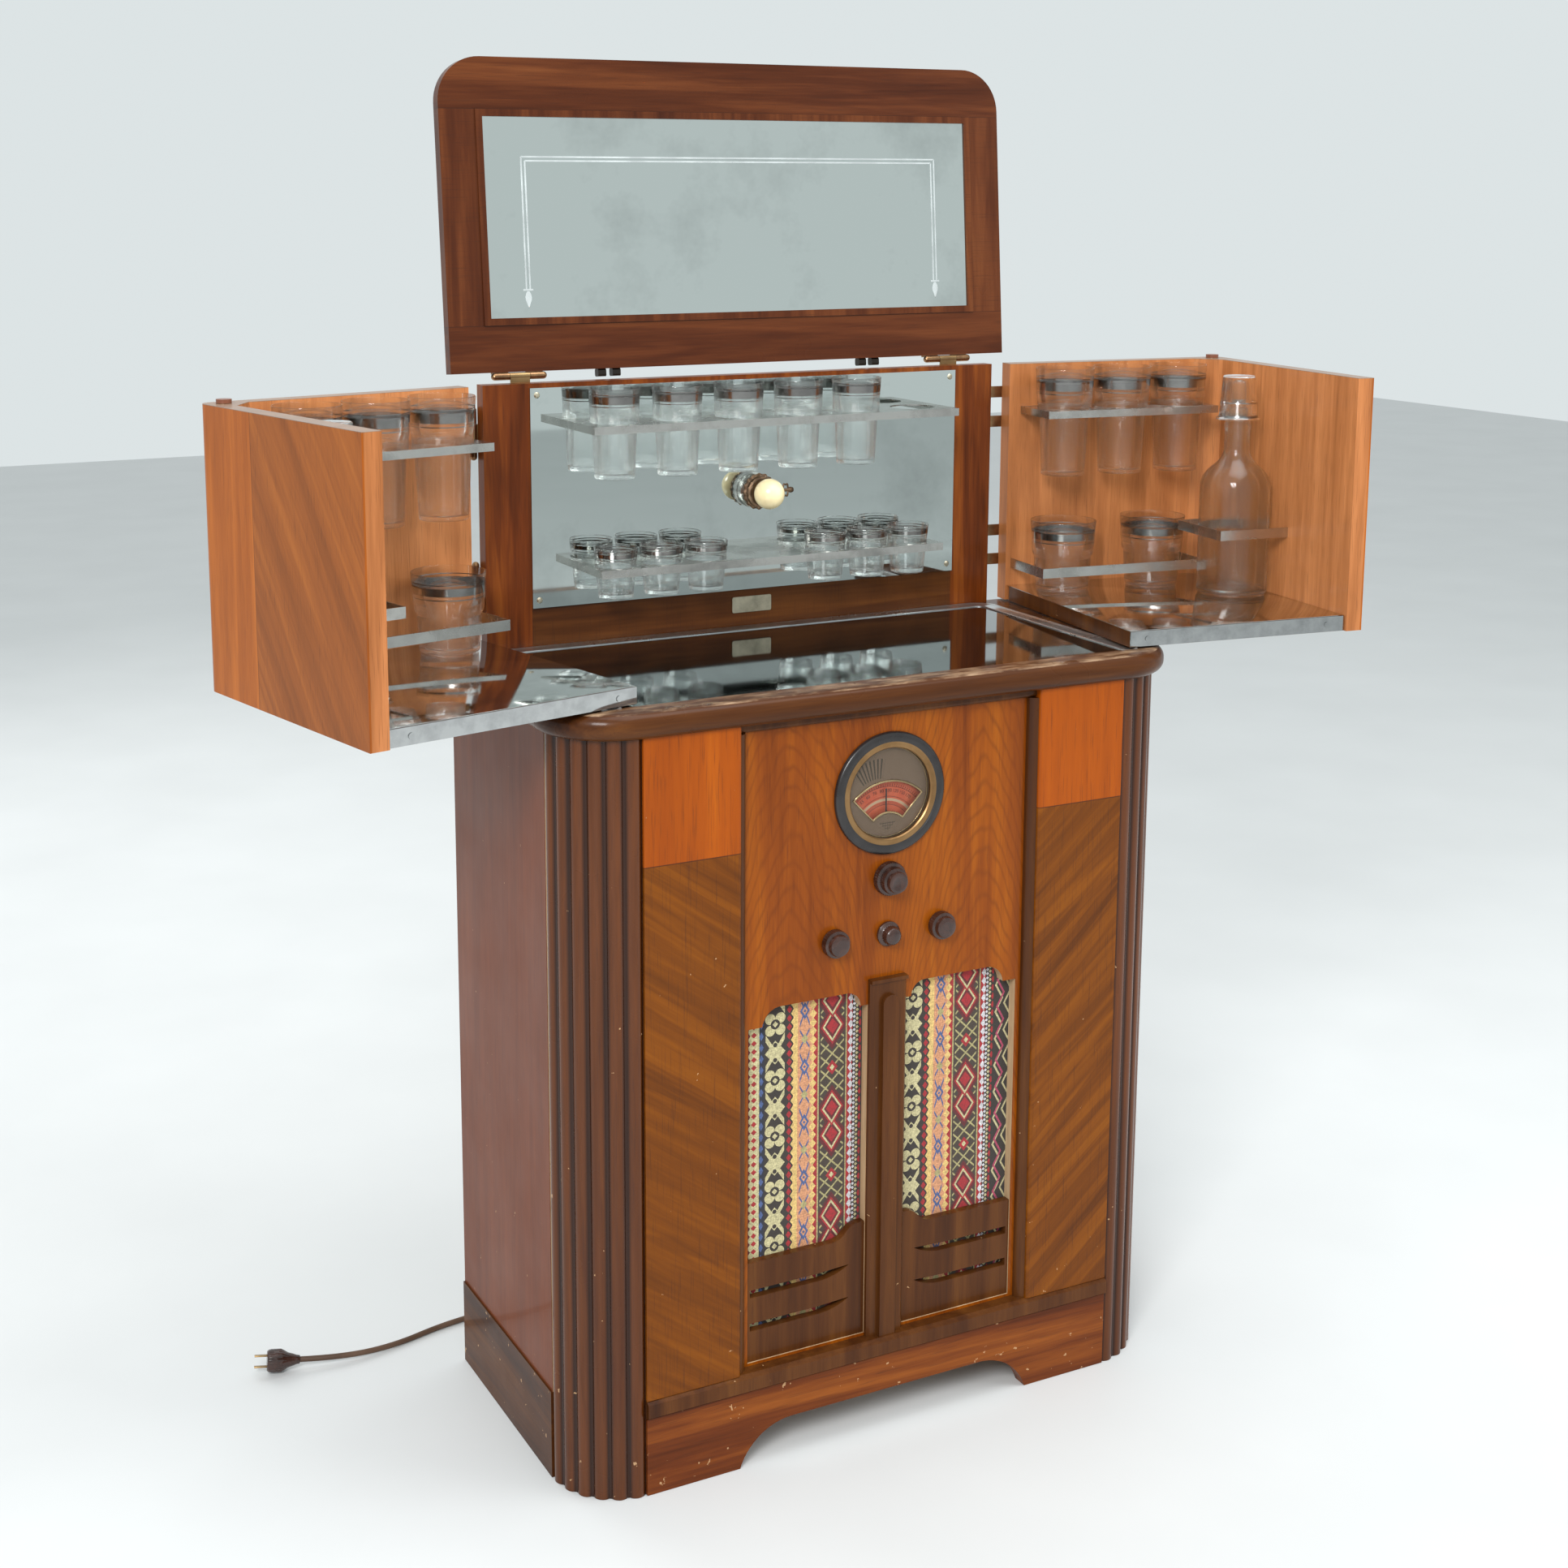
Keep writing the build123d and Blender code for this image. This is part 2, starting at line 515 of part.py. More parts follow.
# ---------------------------------------------------------------- wings
def on_wing(side, solid):
    """Moves a solid from the closed left wing to where that wing, or the other, stands open."""
    px, py = WING_PIVOT
    turn = LEFT_OPEN if side < 0 else RIGHT_OPEN
    if side > 0:
        solid = mirror(solid, Plane.YZ)
    return Pos(side * px, py, 0) * Rot(0, 0, side * turn) * Pos(-side * px, -py, 0) * solid


def wing_box(a0, a1, b0, b1, z0, z1):
    """A box in the closed left wing: a runs forward from its rear edge, b inward from its side."""
    return block(-BAR_HALF + b0, -BAR_HALF + b1, PANEL_FACE_Y - a1, PANEL_FACE_Y - a0, z0, z1)


def wing_case():
    """The side board with two fine grooves down its rounded corner, the front board, a glue block."""
    side = wing_box(1, WING_SIDE, 0, WING_T, WING_Z, BAR_TOP)
    outer = side.edges().filter_by(Axis.Z).sort_by(Axis.Y)[:2].sort_by(Axis.X)[0]
    side = fillet(outer, WING_CORNER)
    turn_x, turn_y = -BAR_HALF + WING_CORNER, PANEL_FACE_Y - WING_SIDE + WING_CORNER
    for deg in (205, 235):
        groove_x = turn_x + WING_CORNER * cos(radians(deg))
        groove_y = turn_y + WING_CORNER * sin(radians(deg))
        side -= rod_z(groove_x, groove_y, 1.3, WING_Z - 1, BAR_TOP + 1)
    front = wing_box(WING_SIDE - WING_T, WING_SIDE, WING_T, WING_FRONT, WING_Z, BAR_TOP)
    block_x, block_y = -BAR_HALF + WING_T, PANEL_FACE_Y - WING_SIDE + WING_T
    corner = outline(*lines((block_x, block_y), (block_x + 26, block_y), (block_x, block_y + 26),
                            (block_x, block_y)))
    corner = Pos(0, 0, SHELF_Z) * extrude(corner, BAR_TOP - SHELF_Z)
    return [side, front, corner]


def strip_loop(points, width, z0, z1):
    """A flat metal strip on edge, bent along a run of points."""
    band = Part()
    for (ax, ay), (bx, by) in zip(points, points[1:]):
        lo_x, hi_x = min(ax, bx) - width / 2, max(ax, bx) + width / 2
        lo_y, hi_y = min(ay, by) - width / 2, max(ay, by) + width / 2
        band += block(lo_x, hi_x, lo_y, hi_y, z0, z1)
    return band


def wing_metal():
    """The rack; the rail and the decanter bail; the chrome shelf edge with its screws, and the pad."""
    x0, y0 = -BAR_HALF, PANEL_FACE_Y
    plate = Part()
    sheet, lip, z = 1.5, 9.0, 1107.0
    plate += wing_box(17, 255, WING_T, 96, z - sheet, z)
    plate += wing_box(17, 255, 96 - sheet, 96, z - lip, z)
    for a in (17, 255 - sheet):
        plate += wing_box(a, a + sheet, WING_T, 96, z - lip, z)
    for k in range(3):
        plate -= rod_z(x0 + 58, y0 - 58 - 80 * k, 32.6, z - lip - 1, z + 1)
    rail = strip_loop([(x0 + WING_T + 0.8, y0 - 9), (x0 + 107, y0 - 9), (x0 + 107, y0 - 234),
                       (x0 + WING_T + 0.8, y0 - 234)], 1.6, 903, 915)
    wall = WING_SIDE - WING_T
    bail = strip_loop([(x0 + 206, y0 - wall + 0.8), (x0 + 206, y0 - 196), (x0 + 110, y0 - 196),
                       (x0 + 110, y0 - wall + 0.8)], 1.6, 955, 967)
    edge = wing_box(3, wall - 1, 329, 330.5, WING_Z + 0.5, SHELF_Z)
    for a in (25, wall - 25):
        edge += Pos(x0 + 330.5, y0 - a, WING_Z + 9) * Rot(0, 90, 0) * Cylinder(3.2, 2)
    pad = rod_z(x0 + 20, y0 - WING_SIDE + 20, 8, BAR_TOP, BAR_TOP + 4.5)
    return [plate], [rail, bail], [edge, pad]


def decanter():
    """A round shouldered bottle, turned hollow, at its place in the closed left wing."""
    wall = 3.0
    shape = [(0, 0), (40, 0), (43, 3), (43, 138), (38, 152), (20, 168), (15.5, 180), (15.5, 232)]
    inner = [(12.5, 232), (12.5, 180), (17.5, 166.5), (35.5, 150.5), (40, 137), (40, 7), (37, wall + 2)]
    points = shape + inner + [(0, wall + 2)]
    return turned_z(points, -BAR_HALF + 158, PANEL_FACE_Y - 244, SHELF_Z)


def jigger():
    """A tapered spirit measure, upside down over the decanter's neck and resting on its rim."""
    rest = 232.2
    points = [(0, 270), (18, 270), (20, 268), (23, 219.5), (27, 218), (27, 216.5), (16.6, 216.5),
              (16.2, rest), (13, rest), (11.5, 262), (0, 262)]
    return turned_z(points, -BAR_HALF + 158, PANEL_FACE_Y - 244, SHELF_Z)


def hinge_knuckles(length, mid):
    """A ball-tipped hinge barrel along Z about the origin: the two outer knuckles, and the middle one."""
    r, gap = 4.2, 0.4
    middle = Cylinder(r, mid)
    outer = []
    for s in (-1, 1):
        lo, hi = mid / 2 + gap, length / 2
        tip = Pos(0, 0, s * (lo + hi) / 2) * Cylinder(r, hi - lo)
        tip += Pos(0, 0, s * hi) * Sphere(r)
        outer.append(tip)
    pin = Cylinder(2, length)
    bore = Cylinder(2.05, mid + 2 * gap)
    return (middle - bore), outer[0] + outer[1] + pin


def wings():
    px, py = WING_PIVOT
    for side, word in ((-1, "left"), (1, "right")):
        add(f"{word}_wing_case", [on_wing(side, s) for s in wing_case()])
        wall = WING_SIDE - WING_T
        shelf = wing_box(3, wall, WING_T, 329, WING_Z, SHELF_Z)
        corner = shelf.edges().filter_by(Axis.Z).sort_by(Axis.Y)[-2:].sort_by(Axis.X)[0]
        add(f"{word}_wing_shelf", on_wing(side, fillet(corner, 9)))
        for kind, solids in zip(("rack", "rails", "fittings"), wing_metal()):
            add(f"{word}_wing_{kind}", [on_wing(side, s) for s in solids])
        add(f"{word}_decanter", on_wing(side, decanter()))
        add(f"{word}_jigger", on_wing(side, jigger()))
        for z in (930.0, 1105.0):
            middle, outer = hinge_knuckles(52, 22)
            moving = Pos(-px, py, z) * outer
            for s in (-1, 1):
                lo, hi = z + s * 18.5 - 7, z + s * 18.5 + 7
                moving += block(-px + 1.5, -px + 3.9, py - 42, py, lo, hi)
                moving += block(-px + 3.5, -BAR_HALF, py - 42, PANEL_FACE_Y - 2, lo, hi)
            fixed = Pos(-px, py, z) * middle
            fixed += block(-px + 1.5, -BAR_HALF + 26, py - 2, py, z - 10.6, z + 10.6)
            fixed -= rod_z(-px, py, 2.05, z - 13, z + 13)
            add(f"{word}_wing_fittings", on_wing(side, moving))
            add("fixed_hinges", fixed if side < 0 else mirror(fixed, Plane.YZ))


# ---------------------------------------------------------------- lid
def on_lid(solid):
    """Moves a solid from the closed lid to where the lid stands open."""
    y, z = LID_PIVOT_Y, LID_PIVOT_Z
    return Pos(0, y, z) * Rot(-LID_OPEN, 0, 0) * Pos(0, -y, -z) * solid


def lid():
    rear = LID_PIVOT_Y - 4.6
    front = rear - LID_L
    x = LID_W / 2
    board = block(-x, x, front, rear, LID_Z, LID_Z + LID_T)
    board = fillet(board.edges().filter_by(Axis.Z).group_by(Axis.Y)[0], LID_CORNER)
    board = fillet(board.faces().sort_by(Axis.Z)[-1].edges().filter_by(
        lambda e: e.center().Y < rear - 1), 6)
    m_x, m_y0, m_y1 = 322.0, rear - 290, rear - 52
    well = block(-m_x, m_x, m_y0, m_y1, LID_Z - 1, LID_Z + 4)
    frame = block(-m_x, m_x, m_y0, m_y1, LID_Z - 2, LID_Z + 4)
    frame -= block(-m_x + 8, m_x - 8, m_y0 + 8, m_y1 - 8, LID_Z - 3, LID_Z + 5)
    add("lid_panel", on_lid(board - well), on_lid(frame))
    glass = block(-m_x + 8, m_x - 8, m_y0 + 8, m_y1 - 8, LID_Z, LID_Z + 4)
    add("lid_mirror", on_lid(glass))

    for side in (-1, 1):
        middle, outer = hinge_knuckles(58, 24)
        at = Pos(side * LID_HINGE_X, LID_PIVOT_Y, LID_PIVOT_Z) * Rot(0, 90, 0)
        moving = at * outer
        for s in (-1, 1):
            centre = side * LID_HINGE_X + s * 20.7
            moving += block(centre - 8, centre + 8, rear, rear + 2, LID_PIVOT_Z, LID_PIVOT_Z + 13)
        add("lid_hinges", on_lid(moving))
        hx = side * LID_HINGE_X
        fixed = at * middle
        fixed += block(hx - 11.6, hx + 11.6, LID_PIVOT_Y - 4, LID_PIVOT_Y - 2, BAR_TOP - 26, LID_PIVOT_Z)
        fixed -= rod_x(LID_PIVOT_Y, LID_PIVOT_Z, 2.05, hx - 13, hx + 13)
        add("fixed_hinges", fixed)
    for x in (-172, 172):
        for s in (-1, 1):
            catch = block(x + s * 9 - 5, x + s * 9 + 5, rear, rear + 9, LID_Z + 2, LID_Z + 12)
            add("lid_hinges", on_lid(fillet(catch.edges().filter_by(Axis.X), 2.5)))


# ---------------------------------------------------------------- mains lead
CORD_X = 90.0
CORD_Z = SHELF_TOP + 32
FLOOR = CORD_R + 0.15
CORD_ROUTE = [
    (CORD_X, CHASSIS_Y1 + RELIEF, CORD_Z),
    (CORD_X - 1, CHASSIS_Y1 + 58, CORD_Z - 1),
    (CORD_X - 4, CHASSIS_Y1 + 93, CORD_Z - 17),
    (CORD_X - 8, CHASSIS_Y1 + 115, CORD_Z - 60),
    (CORD_X - 6, CHASSIS_Y1 + 120, CORD_Z - 125),
    (CORD_X + 2, CHASSIS_Y1 + 117, CORD_Z - 202),
    (CORD_X + 7, CHASSIS_Y1 + 121, CORD_Z - 282),
    (CORD_X + 19, CHASSIS_Y1 + 115, CORD_Z - 362),
    (CORD_X + 31, CHASSIS_Y1 + 119, CORD_Z - 440),
    (CORD_X + 54, CHASSIS_Y1 + 121, CORD_Z - 506),
    (CORD_X + 92, CHASSIS_Y1 + 123, CORD_Z - 554),
    (CORD_X + 146, CHASSIS_Y1 + 127, FLOOR),
    (288, 238, FLOOR),
    (326, 258, FLOOR),
    (332, 297, FLOOR),
    (300, 324, FLOOR),
    (250, 329, FLOOR),
    (184, 318, FLOOR),
    (106, 302, FLOOR),
    (28, 297, FLOOR),
    (-52, 284, FLOOR),
    (-132, 262, FLOOR),
    (-212, 254, FLOOR),
    (-292, 262, FLOOR),
    (-370, 258, FLOOR),
    (-442, 237, FLOOR),
    (-508, 232, 8.0),
    (-556, 243, 12.0),
]


def cord_path():
    """Straight runs joined by tangent arcs, each arc as large as its two runs allow."""
    points = [Vector(*p) for p in CORD_ROUTE]
    runs = [b - a for a, b in zip(points, points[1:])]
    radii = []
    for a, b in zip(runs, runs[1:]):
        turn = radians(a.get_angle(b))
        radii.append(0.45 * min(a.length, b.length) / tan(turn / 2))
    print("cord radii", [round(r) for r in radii])
    return FilletPolyline(*points, radius=radii)


def mains_lead():
    path = cord_path()
    start = Plane(origin=path @ 0, z_dir=path % 0)
    tube = sweep(start * Circle(CORD_R), path=path)
    print("cord length", round(path.length), "tube share", round(
        tube.volume / (pi * CORD_R ** 2 * path.length), 3))
    add("power_cord", tube)
    end, way = path @ 1, path % 1
    head = Plane(origin=end, z_dir=way)
    shape = make_face(Polyline((0, 0), (5, 0), (7, 4), (9, 16), (13, 20), (13, 36), (11, 38), (0, 38),
                               close=True))
    body = revolve(Plane.XZ * shape, Axis.Z)
    for s in (-1, 1):
        body += Pos(6.3 * s, 0, 45) * Box(1.5, 6.3, 16)
    add("power_plug", head * body)


# ---------------------------------------------------------------- build and write
def build():
    cabinet()
    control_panel()
    front_trim()
    speaker()
    dial()
    controls()
    tuning_capacitor()
    receiver()
    counter()
    bar_back()
    wings()
    lid()
    mains_lead()


def write():
    os.makedirs("parts", exist_ok=True)
    for name, solids in parts.items():
        pieces = [s for item in solids for s in item.solids()]
        shape = pieces[0] if len(pieces) == 1 else Compound(children=pieces)
        export_step(shape, f"parts/{name}.step")
    print(len(parts), "nodes written")


build()
write()
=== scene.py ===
import json
from functools import partialmethod
from math import cos, pi, radians, sin

import bmesh
import bpy
from mathutils import Matrix, Vector


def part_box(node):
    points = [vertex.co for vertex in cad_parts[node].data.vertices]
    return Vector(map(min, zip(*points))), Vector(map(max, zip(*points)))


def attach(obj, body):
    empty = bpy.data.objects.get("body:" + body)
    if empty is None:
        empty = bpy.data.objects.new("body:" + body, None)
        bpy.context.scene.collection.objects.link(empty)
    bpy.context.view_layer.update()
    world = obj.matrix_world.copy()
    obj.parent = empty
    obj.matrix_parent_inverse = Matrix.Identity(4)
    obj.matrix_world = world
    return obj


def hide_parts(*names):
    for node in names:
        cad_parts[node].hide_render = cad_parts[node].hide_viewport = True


# Metres, in the frame of the CAD: +X right along the front, -Y the front, +Z up.

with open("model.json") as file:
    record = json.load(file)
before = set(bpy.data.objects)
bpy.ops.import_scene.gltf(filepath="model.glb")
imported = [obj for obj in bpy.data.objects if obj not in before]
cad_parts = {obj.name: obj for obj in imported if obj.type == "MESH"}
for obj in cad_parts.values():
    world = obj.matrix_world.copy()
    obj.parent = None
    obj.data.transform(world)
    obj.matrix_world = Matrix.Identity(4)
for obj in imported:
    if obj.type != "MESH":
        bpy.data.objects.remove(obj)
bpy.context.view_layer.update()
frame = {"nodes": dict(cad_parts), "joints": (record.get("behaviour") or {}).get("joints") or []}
MM = 0.001
SIDES = ((-1, "left"), (1, "right"))


# -------- places, from the frame
def low(node):
    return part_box(node)[0]


def high(node):
    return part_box(node)[1]


def middle(node):
    return (low(node) + high(node)) / 2


def joint(name):
    return next(j for j in frame["joints"] if j["name"] == name)


LEFT_TURN = -radians(joint("left_wing_hinge")["range_deg"][0])
RIGHT_TURN = -radians(joint("right_wing_hinge")["range_deg"][0])
PIVOT_X = abs(joint("left_wing_hinge")["pos_m"][0])
PIVOT_Y = joint("left_wing_hinge")["pos_m"][1]
LID_PIVOT = Vector(joint("lid_hinge")["pos_m"])
LID_TURN = -radians(joint("lid_hinge")["range_deg"][0])
BAR_HALF = high("back_panel").x
BAR_FACE = low("back_panel").y
WING_SHELF = high("left_wing_shelf").z
DIAL = middle("dial_ring")
POINTER = Vector(joint("pointer_shaft")["pos_m"])
SCALE_BACK = high("dial_plate").y
VENEER_SPLIT = 0.697          # where the stiles' upright veneer ends
WING_FACE = 0.329             # from a wing's pivot to the skin of its front board
WING_BAND = 0.1195            # from the pivot to the end of the upright band beside the corner
LID_FAR, LID_NEAR = -0.2946, -0.0566    # the lid mirror's long edges, from the lid's pivot
LID_UNDER = 1.1655            # underside of the closed lid
GUTTER_W = 0.022              # chrome strip round the counter glass
GUTTER_CORNER = 0.030         # its outer corner radius
REED_X, REED_Y, REED_R = 0.297, -0.097, 0.078    # axis and crown radius of a corner column


def linked(name, data):
    """A new object in the scene."""
    thing = bpy.data.objects.new(name, data)
    bpy.context.collection.objects.link(thing)
    return thing


# -------- camera
def camera():
    data = bpy.data.cameras.new("camera")
    cam = linked("camera", data)
    stand = (-1.1862, -2.1207, 1.3835)
    yaw, pitch, roll = -0.4742, -0.1747, 0.0021
    ahead = Vector((-sin(yaw) * cos(pitch), cos(yaw) * cos(pitch), sin(pitch)))
    right = Vector((cos(yaw), sin(yaw), 0))
    up = right.cross(ahead)
    facing = Matrix((right, up, -ahead)).transposed() @ Matrix.Rotation(roll, 3, "Z")
    cam.matrix_world = Matrix.Translation(stand) @ facing.to_4x4()
    data.sensor_width, data.lens = 36.0, 50.42
    data.shift_x, data.shift_y = 0.0275, -0.1377
    data.clip_start, data.clip_end = 0.05, 60
    bpy.context.scene.camera = cam


# -------- node helpers
class Shader:
    """A material with one Principled shader, and short ways to add texture nodes to it."""

    def __init__(self, name, **inputs):
        self.mat = bpy.data.materials.new(name)
        self.mat.use_nodes = True
        self.nodes = self.mat.node_tree.nodes
        self.links = self.mat.node_tree.links
        self.bsdf = self.nodes["Principled BSDF"]
        for key, value in inputs.items():
            self.set(key.replace("_", " "), value)

    def set(self, socket, value):
        if isinstance(value, bpy.types.NodeSocket):
            self.links.new(value, self.bsdf.inputs[socket])
        else:
            self.bsdf.inputs[socket].default_value = value
        return self

    def node(self, kind, **links):
        n = self.nodes.new(kind)
        for key, value in links.items():
            self.feed(n.inputs[key.replace("_", " ")], value)
        return n

    def feed(self, socket, value):
        if isinstance(value, bpy.types.NodeSocket):
            self.links.new(value, socket)
        elif hasattr(socket.default_value, "__len__") and len(socket.default_value) == 4:
            socket.default_value = (*value, 1) if len(value) == 3 else value
        else:
            socket.default_value = value

    def place(self, scale=(1, 1, 1), turns=(), shift=(0, 0, 0)):
        """Object coordinates, moved and turned, each turn in its order, and then scaled."""
        source = self.nodes.new("ShaderNodeTexCoord").outputs["Object"]
        if shift != (0, 0, 0):
            source = self.node("ShaderNodeMapping", Vector=source, Location=shift).outputs[0]
        for turn in turns:
            source = self.node("ShaderNodeMapping", Vector=source, Rotation=turn).outputs[0]
        if scale != (1, 1, 1):
            source = self.node("ShaderNodeMapping", Vector=source, Scale=scale).outputs[0]
        return source

    def noise(self, vector, scale, detail=4.0, rough=0.5, bend=0.0):
        n = self.node("ShaderNodeTexNoise", Vector=vector, Scale=scale, Detail=detail,
                      Roughness=rough, Distortion=bend)
        return n.outputs["Fac"]

    def cloud(self, *how):
        """Noise that is the same in every direction."""
        return self.noise(self.place(), *how)

    def math(self, kind, a, b=0.0, c=0.0):
        n = self.nodes.new("ShaderNodeMath")
        n.operation = kind
        for socket, value in zip(n.inputs, (a, b, c)):
            self.feed(socket, value)
        return n.outputs[0]

    plus = partialmethod(math, "ADD")
    minus = partialmethod(math, "SUBTRACT")
    over = partialmethod(math, "GREATER_THAN")
    under = partialmethod(math, "LESS_THAN")
    near = partialmethod(math, "COMPARE")      # 1 where a is within c of b
    modulo = partialmethod(math, "MODULO")
    size = partialmethod(math, "ABSOLUTE")

    def times(self, a, b, more=None):
        """a * b, or a * b + more."""
        return self.math("MULTIPLY", a, b) if more is None else self.math("MULTIPLY_ADD", a, b, more)

    def squares(self, a, b):
        return self.times(a, a, self.times(b, b))

    def hypot(self, a, b):
        return self.math("SQRT", self.squares(a, b))

    def axes(self, vector):
        return self.node("ShaderNodeSeparateXYZ", Vector=vector).outputs

    def band(self, value, lo, hi):
        """1 where lo < value < hi."""
        return self.near(value, (lo + hi) / 2, (hi - lo) / 2)

    def span(self, value, lo, hi, to=(0.0, 1.0)):
        n = self.node("ShaderNodeMapRange", Value=value)
        for key, v in zip(("From Min", "From Max", "To Min", "To Max"), (lo, hi, *to)):
            n.inputs[key].default_value = v
        return n.outputs[0]

    def ramp(self, value, *stops):
        n = self.node("ShaderNodeValToRGB", Fac=value)
        e = n.color_ramp.elements
        while len(e) < len(stops):
            e.new(0.5)
        for item, (at, colour) in zip(e, stops):
            item.position, item.color = at, (*colour, 1)
        return n.outputs[0]

    def mix(self, fac, a, b):
        n = self.nodes.new("ShaderNodeMix")
        n.data_type = "RGBA"
        self.feed(n.inputs[0], fac)
        for socket, value in ((n.inputs[6], a), (n.inputs[7], b)):
            self.feed(socket, value)
        return n.outputs[2]

    def bump(self, height, strength=0.2, distance=0.001):
        n = self.node("ShaderNodeBump", Height=height, Strength=strength, Distance=distance)
        self.links.new(n.outputs[0], self.bsdf.inputs["Normal"])
        return self


# -------- wood
def grain(s, tones, along, turns=(), figure=0.5, shift=(0, 0, 0)):
    """The colour of veneer with its grain along one axis; also the pores and the streaks."""
    squeeze = {"x": (0.06, 1, 1), "y": (1, 0.06, 1), "z": (1, 1, 0.06)}[along]
    at = s.place(squeeze, turns, shift)
    wide = s.noise(at, 16, 3, 0.55, 0.9 + 1.6 * figure)
    streak = s.noise(at, 75, 4, 0.6, 0.4)
    lines = s.noise(at, 260, 2, 0.6)
    value = s.times(streak, 0.42, s.times(wide, 0.75))
    value = s.times(lines, 0.16, value)
    rings = s.math("PINGPONG", s.times(wide, 14.0), 1.0)
    value = s.times(rings, -0.14 * figure, value)
    stops = zip((0.0, 0.38, 0.66, 1.0), tones)
    colour = s.ramp(s.span(value, 0.42, 0.9), *stops)
    longer = tuple(q / 2 if q < 1 else 1 for q in squeeze)
    pores = s.noise(s.place(longer, turns, shift), 900, 1, 0.5)
    return colour, pores, streak


def finish_wood(s, colour, pores, streak, gloss, worn=0.0):
    """French-polished lacquer with soft dust and fine scratches."""
    dark = s.span(pores, 0.58, 0.72)
    colour = s.mix(s.times(dark, 0.32), colour, (0.035, 0.012, 0.006))
    if worn:
        spots = s.cloud(95, 3, 0.62)
        height = s.axes(s.place())[2]
        reach = s.span(height, 0.0, 0.75, (worn, 0.0))
        level = s.minus(0.755, s.times(reach, 0.085))
        chips = s.over(spots, level)
        colour = s.mix(s.times(chips, 0.75), colour, (0.5, 0.3, 0.15))
    haze = s.cloud(9, 3, 0.6)
    s.set("Base Color", colour)
    s.set("Roughness", s.span(haze, 0.3, 0.75, (gloss, gloss + 0.14)))
    s.set("Specular IOR Level", 0.12)
    s.set("Coat Weight", 0.18).set("Coat Roughness", 0.09).set("Coat IOR", 1.42)
    return s.bump(s.times(pores, 0.5, streak), 0.1, 0.0004)


RED = ((0.057, 0.011, 0.001), (0.115, 0.024, 0.003), (0.178, 0.043, 0.005), (0.253, 0.068, 0.008))
LID = ((0.032, 0.007, 0.002), (0.063, 0.015, 0.004), (0.098, 0.026, 0.007), (0.139, 0.041, 0.011))
DARK = ((0.034, 0.01, 0.003), (0.063, 0.019, 0.004), (0.09, 0.029, 0.006), (0.121, 0.042, 0.008))
COLUMN = ((0.058, 0.014, 0.003), (0.082, 0.022, 0.004), (0.105, 0.029, 0.006), (0.137, 0.038, 0.008))
SIDE = ((0.099, 0.02, 0.005), (0.13, 0.029, 0.007), (0.15, 0.034, 0.008), (0.171, 0.041, 0.01))
AMBER = ((0.132, 0.026, 0.001), (0.203, 0.044, 0.002), (0.261, 0.062, 0.002), (0.332, 0.091, 0.004))
ORANGE = ((0.23, 0.04, 0.001), (0.276, 0.053, 0.001), (0.317, 0.062, 0.001), (0.368, 0.081, 0.002))
OLIVE = ((0.085, 0.022, 0.001), (0.137, 0.036, 0.001), (0.184, 0.05, 0.001), (0.23, 0.069, 0.002))
WING = ((0.224, 0.055, 0.005), (0.318, 0.082, 0.009), (0.403, 0.111, 0.013), (0.482, 0.142, 0.02))
# Inner faces of the wings: the wood's tone, made lighter with painted bounce light.
INSIDE_BOUNCE_LIT = ((0.27, 0.092, 0.028), (0.39, 0.14, 0.046), (0.5, 0.19, 0.066), (0.6, 0.25, 0.095))
PALE = ((0.3, 0.19, 0.1), (0.42, 0.28, 0.16), (0.52, 0.37, 0.22), (0.6, 0.45, 0.29))


def wood(name, tones, along, figure, gloss, worn=0.0):
    s = Shader(name)
    return finish_wood(s, *grain(s, tones, along, (), figure), gloss, worn)


def seam(s, mask, colour):
    """A thin dark joint between two pieces of veneer."""
    return s.mix(s.times(mask, 0.7), colour, (0.03, 0.01, 0.005))


def raw(s, colour, mask):
    """Unfinished wood on the hidden faces of a board."""
    plain, _, _ = grain(s, PALE, "z", figure=0.3)
    return s.mix(mask, colour, plain)


def side_wood():
    s = Shader("side_board")
    colour, pores, streak = grain(s, SIDE, "z", figure=0.3)
    x = s.size(s.axes(s.place())[0])
    inner = s.under(x, high("side_panels").x - 0.0005)
    return finish_wood(s, raw(s, colour, inner), pores, streak, 0.34, 0.3)


def column_wood():
    """Glossy upright grain, with painted shade darkening the grooves between the reeds."""
    s = Shader("column_veneer")
    colour, pores, streak = grain(s, COLUMN, "z", figure=0.3)
    x, y, _ = s.axes(s.place())
    across = s.minus(s.size(x), REED_X)
    back = s.minus(y, REED_Y)
    reach = s.hypot(across, back)
    # painted shade: darker the deeper into a groove between the reeds
    groove_shade = s.span(reach, REED_R - 0.0012, REED_R - 0.0029, (0.0, 0.85))
    colour = s.mix(groove_shade, colour, (0.012, 0.003, 0.001))
    finish_wood(s, colour, pores, streak, 0.22, 0.5)
    return s.set("Coat Weight", 0.5).set("Coat Roughness", 0.06)


def panel_wood():
    """Book-matched flat-sawn figure: pointed arches on both halves of the board."""
    s = Shader("figured_walnut")
    colour, pores, streak = grain(s, AMBER, "z", figure=0.35)
    x, y, z = s.axes(s.place())
    wave = s.noise(s.place((1, 1, 0.22)), 15, 3, 0.5)
    off = s.minus(s.size(x), 0.118)
    arch = s.times(s.times(off, off), 28.0, z)
    arch = s.times(wave, 0.16, arch)
    ring = s.math("PINGPONG", s.math("DIVIDE", arch, 0.0135), 1.0)
    line = s.times(s.span(ring, 0.42, 0.0), s.span(streak, 0.3, 0.7, (0.15, 0.5)))
    colour = s.mix(line, colour, (0.1, 0.02, 0.002))
    behind = s.over(y, low("control_panel").y + 0.0005)
    return finish_wood(s, raw(s, colour, behind), pores, streak, 0.27)


